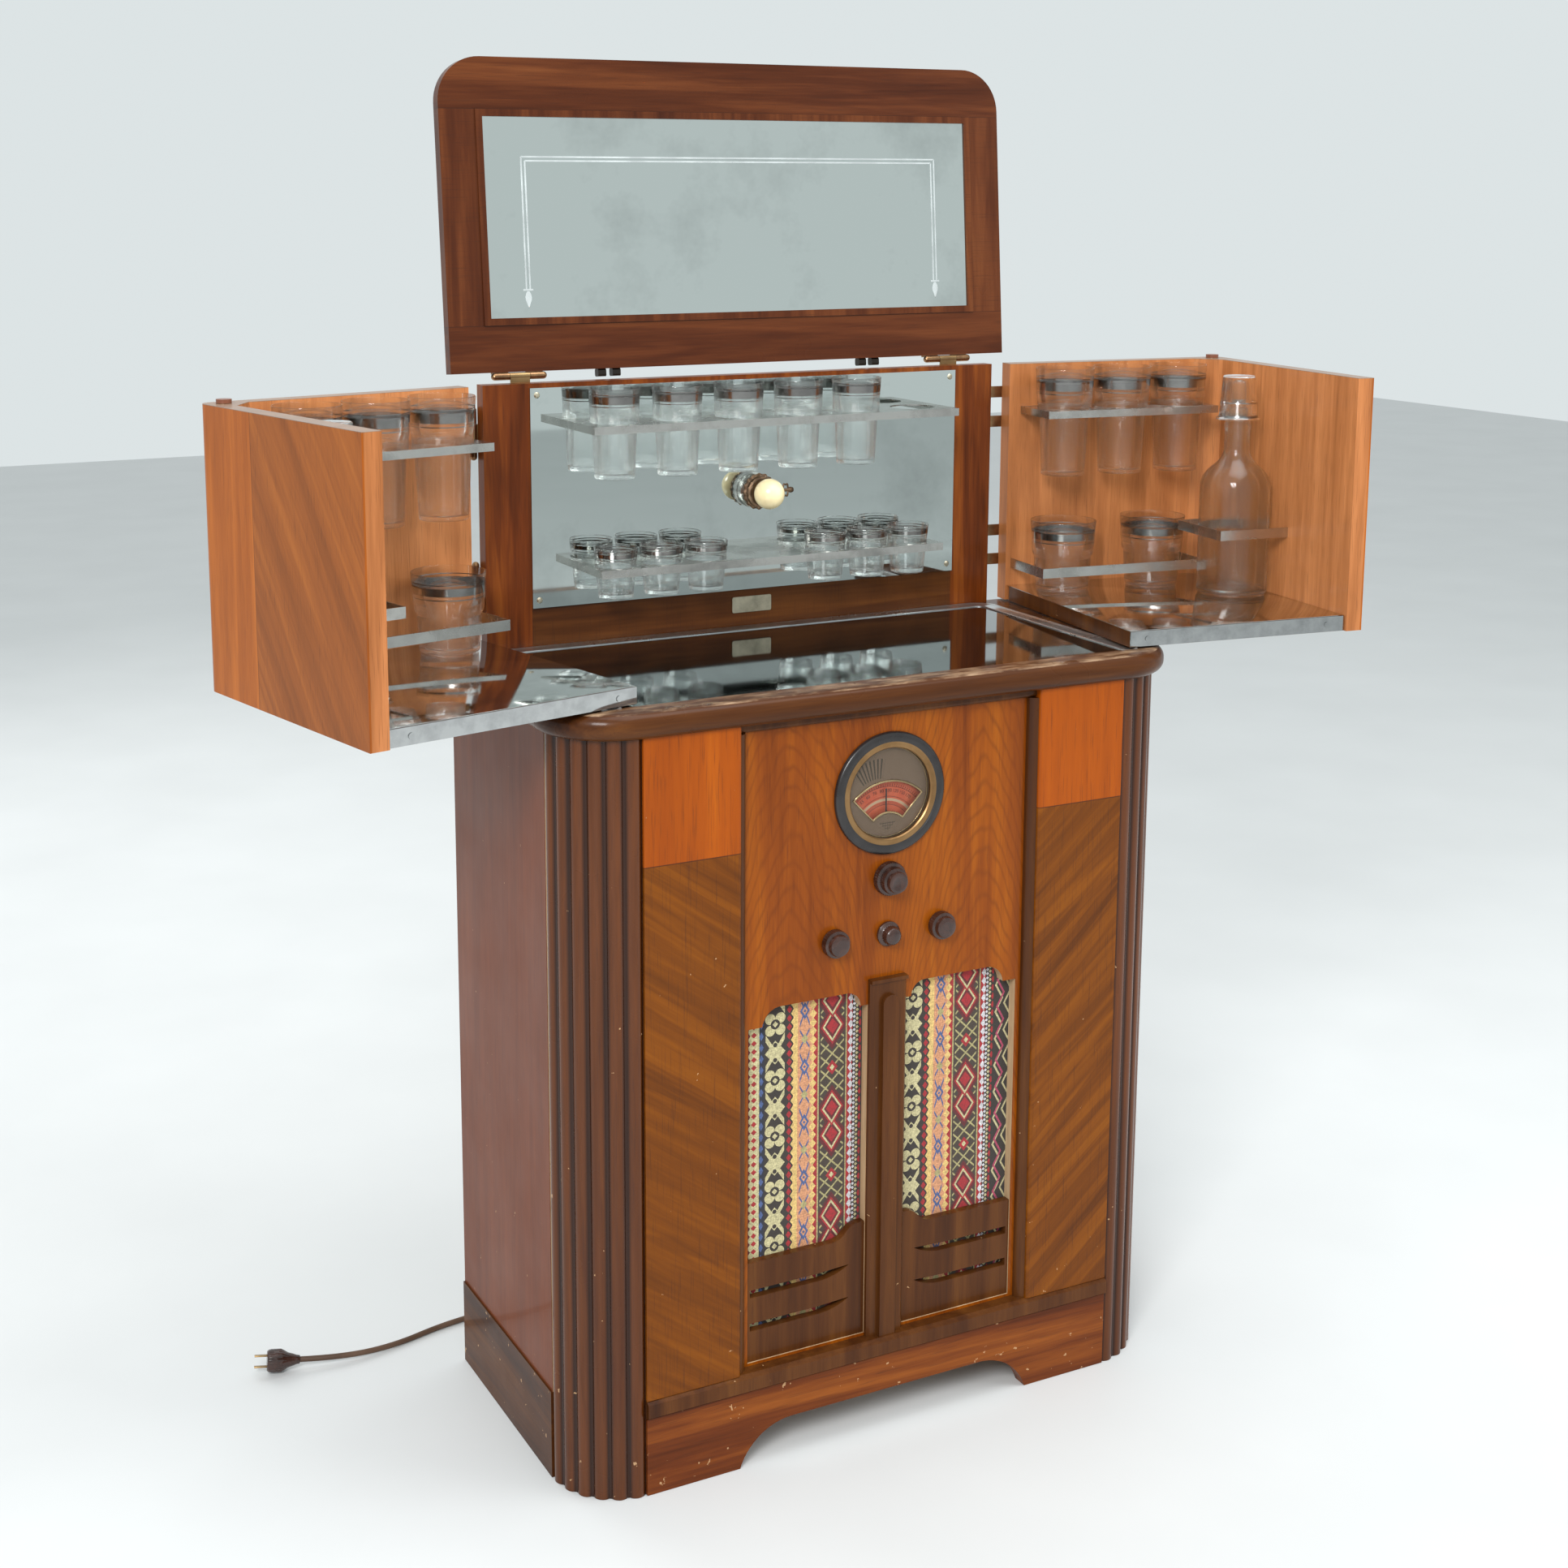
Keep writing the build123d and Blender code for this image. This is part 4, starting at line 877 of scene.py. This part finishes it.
def dial():
    front = high("dial_ring").y
    ring = [(50.2, 0), (50.2, 3.2), (51.4, 4.4), (53.4, 4.7), (56.4, 4.2), (57.2, 4.4), (58.4, 5.3),
            (61.5, 5.5), (64.8, 5.3), (66.8, 4.5), (67.8, 3.2), (68, 1.6), (68, 0)]
    tone = [1, 1, 1, 1, 1, 0, 0, 0, 0, 0, 0, 0]
    turned("dial_bezel", "cabinet", (BLACK_LACQUER, BRONZE_RING), ("dial_ring",), ring,
           (DIAL.x, front, DIAL.z), (0, -1, 0), 120, tone)
    face = low("dial_plate").y + 0.8 * MM
    wire("dial_window_edge", sector(POINTER.z, face - 0.5 * MM, 0.0265, 0.0614, 44), 1.25 * MM,
         "cabinet", GILT)
    inner = [(POINTER.x + 0.0495 * cos(a), face - 0.2 * MM, DIAL.z + 0.0495 * sin(a))
             for a in (2 * pi * k / 72 for k in range(72))]
    wire("dial_face_edge", inner, 0.5 * MM, "cabinet", GILT)
    scale = SCALE_BACK - 0.9 * MM
    for k, word in enumerate(("55", "60", "70", "80", "100", "120", "150", "170")):
        a = radians(-36 + 72 * k / 7)
        data = bpy.data.curves.new(f"dial_number_{k + 1}", "FONT")
        data.body, data.size, data.extrude = word, 0.0052, 0.00005
        data.align_x = data.align_y = "CENTER"
        piece = linked(f"dial_number_{k + 1}", data)
        spot = Vector((0.049 * sin(a), scale, POINTER.z + 0.049 * cos(a)))
        piece.matrix_world = (Matrix.Translation(spot) @ Matrix.Rotation(a, 4, "Y")
                              @ Matrix.Rotation(pi / 2, 4, "X"))
        data.materials.append(INK.mat)
        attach(piece, "cabinet")


def dial_print():
    """Brown face with fine fan lines; the scale behind the window is salmon with arcs and ticks."""
    s = Shader("dial_print", Metallic=0.35)
    x, y, z = s.axes(s.place())
    up = s.minus(z, POINTER.z)
    r = s.hypot(x, up)
    angle = s.math("ARCTAN2", x, up)
    salmon = s.ramp(s.cloud(60, 3), (0.3, (0.62, 0.1, 0.045)), (0.7, (0.72, 0.17, 0.08)))
    step = radians(3)
    for centre in (0.0335, 0.0425, 0.0535):
        salmon = s.mix(s.band(r, centre - 0.00025, centre + 0.00025), salmon, (0.1, 0.02, 0.015))
    tick = s.near(s.modulo(s.plus(angle, 4.0), step), step / 2, 0.006)
    for lo, hi in ((0.0335, 0.037), (0.0535, 0.0565)):
        salmon = s.mix(s.times(tick, s.band(r, lo, hi)), salmon, (0.1, 0.02, 0.015))
    salmon = s.mix(s.band(r, 0.0375, 0.0405), salmon, (0.62, 0.42, 0.26))
    brushed = s.noise(s.place((1, 1, 12)), 260, 3, 0.6)
    face = s.ramp(brushed, (0.25, (0.16, 0.105, 0.068)), (0.75, (0.24, 0.165, 0.11)))
    left = s.plus(x, 0.012)
    rise = s.minus(z, DIAL.z - 0.016)
    fan = s.math("ARCTAN2", left, rise)
    reach = s.hypot(left, rise)
    line = s.near(s.modulo(s.plus(fan, 4.0), radians(5.5)), radians(2.7), 0.019)
    zone = s.times(s.band(reach, 0.032, 0.054), s.band(fan, -0.62, 0.16))
    face = s.mix(s.times(line, zone), face, (0.06, 0.045, 0.03))
    foot = s.minus(DIAL.z - 0.03, z)
    grid = s.math("MAXIMUM",
                  s.near(s.modulo(s.plus(x, 1.0), 0.003), 0.0015, 0.0003),
                  s.near(s.modulo(foot, 0.003), 0.0015, 0.0003))
    wedge = s.times(s.band(foot, 0.003, 0.012),
                   s.under(s.size(x), s.minus(0.014, foot)))
    face = s.mix(s.times(grid, wedge), face, (0.06, 0.045, 0.03))
    deep = s.over(y, low("dial_plate").y + 0.003)
    s.set("Base Color", s.mix(deep, face, salmon))
    s.set("Roughness", s.span(brushed, 0.3, 0.7, (0.3, 0.45)))
    return s


# -------- lamp
def lamp():
    centre = (low("lamp_globe") + high("lamp_globe")) / 2
    back = high("lamp_socket").y
    rose = [(0, 0), (20.4, 0), (21, 0.8), (21, 11), (20, 12.6), (17, 13.2), (17, 14), (20.6, 14.6),
            (21.2, 16.4), (19.6, 18.4), (18.4, 19), (19, 20.4), (18, 23), (16, 24.4), (15.6, 26.4),
            (13, 26.6), (0, 26.6)]
    tone = [0, 0, 0, 0, 0, 0, 0, 1, 1, 1, 1, 1, 1, 1, 1, 1]

    def chased(r, h, a):
        return r * (1 + 0.035 * cos(16 * a)) if 0.0143 < h < 0.0188 else r

    turned("lamp_holder", "cabinet", (NICKEL, BRONZE), ("lamp_socket",), rose, (0, back, centre.z),
           (0, -1, 0), 96, tone, chased)
    for k in range(18):
        a = 2 * pi * k / 18
        at = (0.0176 * cos(a), back - 0.0216, centre.z + 0.0176 * sin(a))
        bead = [(0, -1.7), (1.2, -1.2), (1.7, 0), (1.2, 1.2), (0, 1.7)]
        turned(f"lamp_bead_{k + 1}", "cabinet", (BRONZE,), (), bead, at, (0, -1, 0), 10, degrees=80)
    globe = [(0, -17)] + [(17.9 * cos(radians(t)), 17.9 * sin(radians(t))) for t in range(-70, 90, 8)]
    globe += [(0, 17.95)]
    turned("lamp_bulb", "cabinet", (IVORY,), ("lamp_globe",), globe, (0, centre.y + 0.0005, centre.z),
           (0, -1, 0), 64, degrees=80)
    key = middle("lamp_key")
    stem = [(0, 20), (2, 20), (2, 27), (3.2, 27.6), (3.2, 28.8), (2, 29.4), (2, 36.4), (3.3, 38.2),
            (3.6, 40.2), (2.8, 42.6), (0, 43.5)]
    turned("lamp_turn_stem", "lamp_key", (BRONZE,), ("lamp_key",), stem, (0, key.y, key.z), (1, 0, 0),
           24, degrees=50)
    leaf = []
    for k in range(28):
        a = 2 * pi * k / 28
        r = 1 + 0.14 * cos(6 * a)
        leaf.append((0.033 + 0.0042 * r * cos(a), key.y, key.z + 0.0072 * r * sin(a)))
    wire("lamp_turn_leaf", leaf, 0.0011, "lamp_key", BRONZE)


# -------- lid, wings, counter
def lid_details():
    """Double etched line with teardrop ends on the lid's mirror."""
    move = lid_matrix()
    top = LID_PIVOT.y - 0.2427
    end, half, line, double = top + 0.146, 0.27, 0.0009, 0.0044
    foot = half - double / 2
    flat = []
    for inset in (0.0, double):
        x, y = half - inset, top + inset
        flat.append((-x, y - line, x, y + line))
        for side in (-1, 1):
            flat.append((side * x - line, y, side * x + line, end))
    for side in (-1, 1):
        flat.append((side * foot - 0.006, end, side * foot + 0.006, end + 0.002))
    below, above = LID_UNDER - 0.0003, LID_UNDER + 0.0002
    strips = [((x0, y0, below), (x1, y1, above)) for x0, y0, x1, y1 in flat]
    add_piece("lid_etching", slabs("lid_etching", strips, move, 0.0), "lid", (FROST,))
    tear = [(0, 0), (1.6, 1), (3.0, 3.5), (4.0, 7.5), (3.6, 11), (2.2, 14), (0.9, 17.5), (0, 20)]
    for side, word in SIDES:
        name = f"lid_{word}_teardrop"
        data = lathe_mesh(name, mm(tear), (0, 0, 0), (0, 1, 0), 24, degrees=60)
        place = Matrix.Translation((side * foot, end + 0.002, LID_UNDER))
        data.transform(move @ place @ Matrix.Diagonal((1, 1, 0.08, 1)))
        add_piece(name, data, "lid", (FROST,))


def wing_details():
    """A mirror on each shelf."""
    for side, word in SIDES:
        move = wing_matrix(side)
        lo = Vector((-BAR_HALF + 0.021, BAR_FACE - 0.2895, WING_SHELF))
        hi = Vector((-BAR_HALF + 0.3285, BAR_FACE - 0.0035, WING_SHELF + 0.0007))
        data = slabs(f"{word}_shelf_mirror", [(lo, hi)], move, 0.0003)
        add_piece(f"{word}_shelf_mirror", data, f"{word}_wing", (SHELF_GLASS,))


def chrome_gutter():
    """A U of chrome with a ridge along both edges, round the counter glass."""
    box_lo, box_hi = low("chrome_trim"), high("chrome_trim")
    half, back, front = box_hi.x - GUTTER_W / 2, box_hi.y - GUTTER_W / 2, box_lo.y + 0.0005
    r = GUTTER_CORNER - GUTTER_W / 2
    path = [(-half, front), (-half, 0)]
    turns = [pi / 2 * k / 12 for k in range(13)]
    path += [(-half + r - r * cos(t), back - r + r * sin(t)) for t in turns]
    path += [(half - r + r * sin(t), back - r + r * cos(t)) for t in turns]
    path += [(half, 0), (half, front)]
    z = high("counter_glass").z
    edge = ((11, -2.6), (11, 0.8), (10, 1.4), (8.4, 1.4), (7.2, 0.7), (5, 0.3), (2, 0.15))
    section = [(-a, b) for a, b in edge] + [(a, b) for a, b in reversed(edge)]
    profile = [(a * MM, z + b * MM) for a, b in section]
    data = swept("chrome_gutter", path, profile)
    add_piece("chrome_gutter", data, "cabinet", (STRIP,), ("chrome_trim",))


def cloth_sheet():
    """The grille cloth, stretched flat behind the openings."""
    lo, hi = low("grille_cloth"), high("grille_cloth")
    across, along = 44, 52
    verts, faces = [], []
    for j in range(along + 1):
        for i in range(across + 1):
            u, v = i / across, j / along
            ripple = 0.00016 * sin(9 * u + 3 * sin(5 * v)) * sin(pi * u) * sin(pi * v)
            verts.append((lo.x + (hi.x - lo.x) * u, (lo.y + hi.y) / 2 + ripple,
                          lo.z + (hi.z - lo.z) * v))
    row = across + 1
    for j in range(along):
        for i in range(across):
            k = j * row + i
            faces.append((k, k + 1, k + row + 1, k + row))
    data = mesh("grille_weave", verts, faces)
    piece = add_piece("grille_weave", data, "cabinet", (CLOTH,), ("grille_cloth",))


# -------- radio works
def tubes():
    """Glass bulbs with grey plates inside, on bakelite bases."""
    z = high("chassis").z
    glass = [(15.4, 25), (16, 27), (21.6, 40), (22, 46), (22, 56), (20.4, 62), (13.5, 78), (11.2, 84),
             (11, 94), (8, 99), (0, 101.6)]
    base = [(0, 0), (15, 0), (16, 1.2), (16, 24), (15.4, 25.4), (0, 25.4)]
    plate = [(0, 34), (9.5, 34), (10, 34.6), (10, 62), (9.5, 62.8), (0, 62.8)]
    for k, (x, y) in enumerate(((-120, -40), (-70, -55), (70, 70), (120, 40), (-40, 72))):
        at = (x * MM, y * MM, z)
        replaced = ("radio_tubes",) if k == 0 else ()
        turned(f"tube_glass_{k + 1}", "cabinet", (TUBE_GLASS,), replaced, glass, at, sides=40,
               degrees=60)
        turned(f"tube_base_{k + 1}", "cabinet", (BAKELITE,), (), base, at, sides=40)
        turned(f"tube_plate_{k + 1}", "cabinet", (CARBON,), (), plate, at, sides=24,
               shape=lambda r, h, a: r * (1 + 0.12 * cos(2 * a)))


# -------- mains lead
CORD_RADIUS = 3.25 * MM
CORD_ROUTE = mm([
    (90, 134, 577), (89, 168, 576), (86, 203, 560), (82, 225, 517), (84, 230, 452), (92, 227, 375),
    (97, 231, 295), (109, 225, 215), (121, 229, 137), (144, 231, 71), (182, 233, 23), (236, 237, 3.4),
    (288, 238, 3.4), (326, 258, 3.4), (332, 297, 3.4), (300, 324, 3.4), (250, 329, 3.4), (184, 318, 3.4),
    (106, 302, 3.4), (28, 297, 3.4), (-52, 284, 3.4), (-132, 262, 3.4), (-212, 254, 3.4),
    (-292, 262, 3.4), (-370, 258, 3.4), (-442, 237, 3.4), (-508, 232, 8.0), (-556, 243, 12.0),
])


def mains_lead():
    data = bpy.data.curves.new("mains_lead", "CURVE")
    data.dimensions, data.bevel_depth, data.bevel_resolution = "3D", CORD_RADIUS, 4
    data.resolution_u = 8
    line = data.splines.new("NURBS")
    line.points.add(len(CORD_ROUTE) - 1)
    for p, q in zip(line.points, CORD_ROUTE):
        p.co = (*q, 1)
    line.order_u = 3
    line.use_endpoint_u = True
    lead = add_piece("mains_lead", data, "cabinet", (LEAD,), ("power_cord",))
    end, before = Vector(CORD_ROUTE[-1]), Vector(CORD_ROUTE[-2])
    way = (end - before).normalized()
    body = [(0, 0), (4.4, 0), (5, 0.8), (5.4, 4), (6.6, 7), (8.6, 14), (11.6, 19), (13, 22), (13, 33),
            (12.4, 36.4), (11, 38), (0, 38)]
    ribs = fluted(20, 0.7, 10, 19, 34)
    plug = add_piece("lead_plug", lathe_mesh("lead_plug", mm(body), end, way, 80, shape=ribs),
                     "cabinet", (BAKELITE,), ("power_plug",))
    turn = Vector((0, 0, 1)).rotation_difference(way).to_matrix().to_4x4()
    blades = [((s * 6.3 - 0.75, -3.1, 37), (s * 6.3 + 0.75, 3.1, 52.6)) for s in (-1, 1)]
    data = slabs("plug_blades", [mm(b) for b in blades], Matrix.Translation(end) @ turn)
    prongs = add_piece("plug_blades", data, "cabinet", (BRASS,))


# -------- floor and light
def studio():
    data = bpy.data.meshes.new("floor")
    r, z = 9.0, -0.0004
    data.from_pydata([(-r, -r, z), (r, -r, z), (r, r, z), (-r, r, z)], [], [(0, 1, 2, 3)])
    s = Shader("floor", Roughness=0.55)
    s.set("Base Color", s.mix(s.span(s.cloud(3, 4), 0.3, 0.7), (0.6, 0.61, 0.61), (0.63, 0.64, 0.64)))
    data.materials.append(s.mat)
    floor = linked("floor", data)
    world = bpy.data.worlds.new("studio")
    bpy.context.scene.world = world
    world.use_nodes = True
    back = world.node_tree.nodes["Background"]
    back.inputs["Color"].default_value = (0.8, 0.86, 0.87, 1)
    back.inputs["Strength"].default_value = 0.9
    bpy.context.scene.view_settings.view_transform = "Standard"
    for name, place, aim, size, watts in (
            ("key", (-2.6, -3.0, 3.2), (0, 0, 0.8), 1.4, 175),
            ("top", (0.4, -0.6, 4.0), (0, 0, 0.9), 2.4, 60),
            ("fill", (3.0, -2.4, 2.2), (0, 0, 0.8), 2.0, 60),
            ("rear", (-1.0, 3.2, 2.6), (0, 0, 0.9), 2.0, 45)):
        light = bpy.data.lights.new(name, "AREA")
        light.size, light.energy = size, watts
        softbox = linked(name, light)
        softbox.visible_glossy = name in ("key", "top")
        turn = (Vector(place) - Vector(aim)).to_track_quat("Z", "Y").to_matrix().to_4x4()
        softbox.matrix_world = Matrix.Translation(place) @ turn


# -------- shared surfaces
camera()
GLASS = clear("bar_glass")
BOTTLE = clear("bottle_glass", (0.95, 0.985, 0.975), ior=1.42, alpha=0.7)
PLATINUM = metal("platinum_band", (0.3, 0.29, 0.28), 0.14, 90, 0.1)
BAKELITE = bakelite("bakelite")
NICKEL = metal("worn_nickel", (0.56, 0.55, 0.52), 0.16, 70, 0.2)
BRASS = metal("aged_brass", (0.4, 0.26, 0.12), 0.26, 80, 0.2, (0.2, 0.12, 0.06))
BRONZE = metal("antique_bronze", (0.24, 0.15, 0.09), 0.32, 120, 0.2, (0.08, 0.055, 0.04))
BRONZE_RING = metal("bronze_ring", (0.34, 0.2, 0.09), 0.3, 90, 0.15, (0.22, 0.12, 0.05))
STRIP = metal("polished_strip", (0.74, 0.77, 0.78), 0.24, 60, 0.12)
PLATE = metal("pale_plate", (0.62, 0.56, 0.42), 0.4, 160, 0.1)
GILT = metal("gilt", (0.62, 0.46, 0.24), 0.22, 90, 0.12)
BLACK_LACQUER = enamel("black_lacquer", (0.012, 0.01, 0.01), 0.22, 0.02)
IVORY = enamel("ivory_glass", (0.66, 0.53, 0.31), 0.14, 0.01)
FROST = enamel("etched_line", (0.34, 0.37, 0.37), 0.5, 0.05)
INK = enamel("dial_ink", (0.06, 0.015, 0.01), 0.5, 0.02)
SHELF_GLASS = mirror_glass("shelf_mirror", (0.62, 0.63, 0.62), 0.05)
TUBE_GLASS = clear("tube_glass", (0.8, 0.82, 0.84))
CARBON = enamel("carbon_plate", (0.03, 0.03, 0.032), 0.6, 0.1)
LEAD = enamel("brown_lead", (0.07, 0.035, 0.018), 0.5, 0.3, 1400)
CLOTH = cloth_material()


def carried_over():
    """Materials for the CAD nodes that stay as they are."""
    dark = wood("dark_walnut", DARK, "z", 0.2, 0.26, 0.3)
    pale = wood("pale_ply", PALE, "x", 0.5, 0.6)
    steel = metal("plated_steel", (0.5, 0.5, 0.48), 0.38, 60, 0.2)
    black = enamel("black_enamel", (0.02, 0.02, 0.022), 0.42, 0.1)
    paper = enamel("cone_paper", (0.09, 0.07, 0.055), 0.85, 0.5, 700)
    mirror = mirror_glass("bar_mirror", (0.6, 0.65, 0.63))
    glazing = Shader("dial_crystal", Roughness=0.03, Alpha=0.14, IOR=1.5)
    smear = glazing.noise(glazing.place(), 40, 3)
    glazing.set("Base Color", glazing.mix(smear, (0.03, 0.028, 0.022), (0.06, 0.055, 0.045)))
    fittings = wing_fittings()
    table = [
        (side_wood(), "side_panels"), (column_wood(), "reeded_corners"),
        (stile_wood(), "front_stiles"), (panel_wood(), "control_panel"),
        (plinth_wood(), "plinth"), (counter_wood(), "counter_top"), (bar_wood(), "back_panel"),
        (lid_wood(), "lid_panel"), (lid_fittings(), "lid_hinges"), (dial_print(), "dial_plate"),
        (dark, "front_mouldings", "lower_grille", "left_wing_shelf", "right_wing_shelf"),
        (pale, "inner_shelves", "speaker_baffle"),
        (mirror_glass("counter_glass", (0.2, 0.225, 0.225), 0.03), "counter_glass"),
        (mirror, "back_mirror", "lid_mirror"), (glazing, "dial_glass"), (PLATE, "fastenings"),
        (NICKEL, "upper_glass_rack", "lower_glass_rack", "left_wing_rack", "right_wing_rack",
         "left_wing_rails", "right_wing_rails"),
        (BRASS, "fixed_hinges"), (BAKELITE, "rear_terminals"), (paper, "speaker_cone"),
        (steel, "chassis", "capacitor_frame", "capacitor_rotor", "shield_cans"),
        (black, "power_transformer", "dial_pointer", "control_bodies", "speaker_frame", "field_coil"),
        (fittings, "left_wing_fittings", "right_wing_fittings"),
    ]
    for side, word in SIDES:
        table.append((wing_wood(f"{word}_wing_veneer", side), f"{word}_wing_case"))
    for shader, *nodes in table:
        for node in nodes:
            data = frame["nodes"][node].data
            data.materials.clear()
            data.materials.append(shader.mat)
            smooth(data, 28)


for build in (carried_over, glasses, decanters, knobs, dial, lamp, lid_details, wing_details,
              chrome_gutter, cloth_sheet, tubes, mains_lead, studio):
    build()
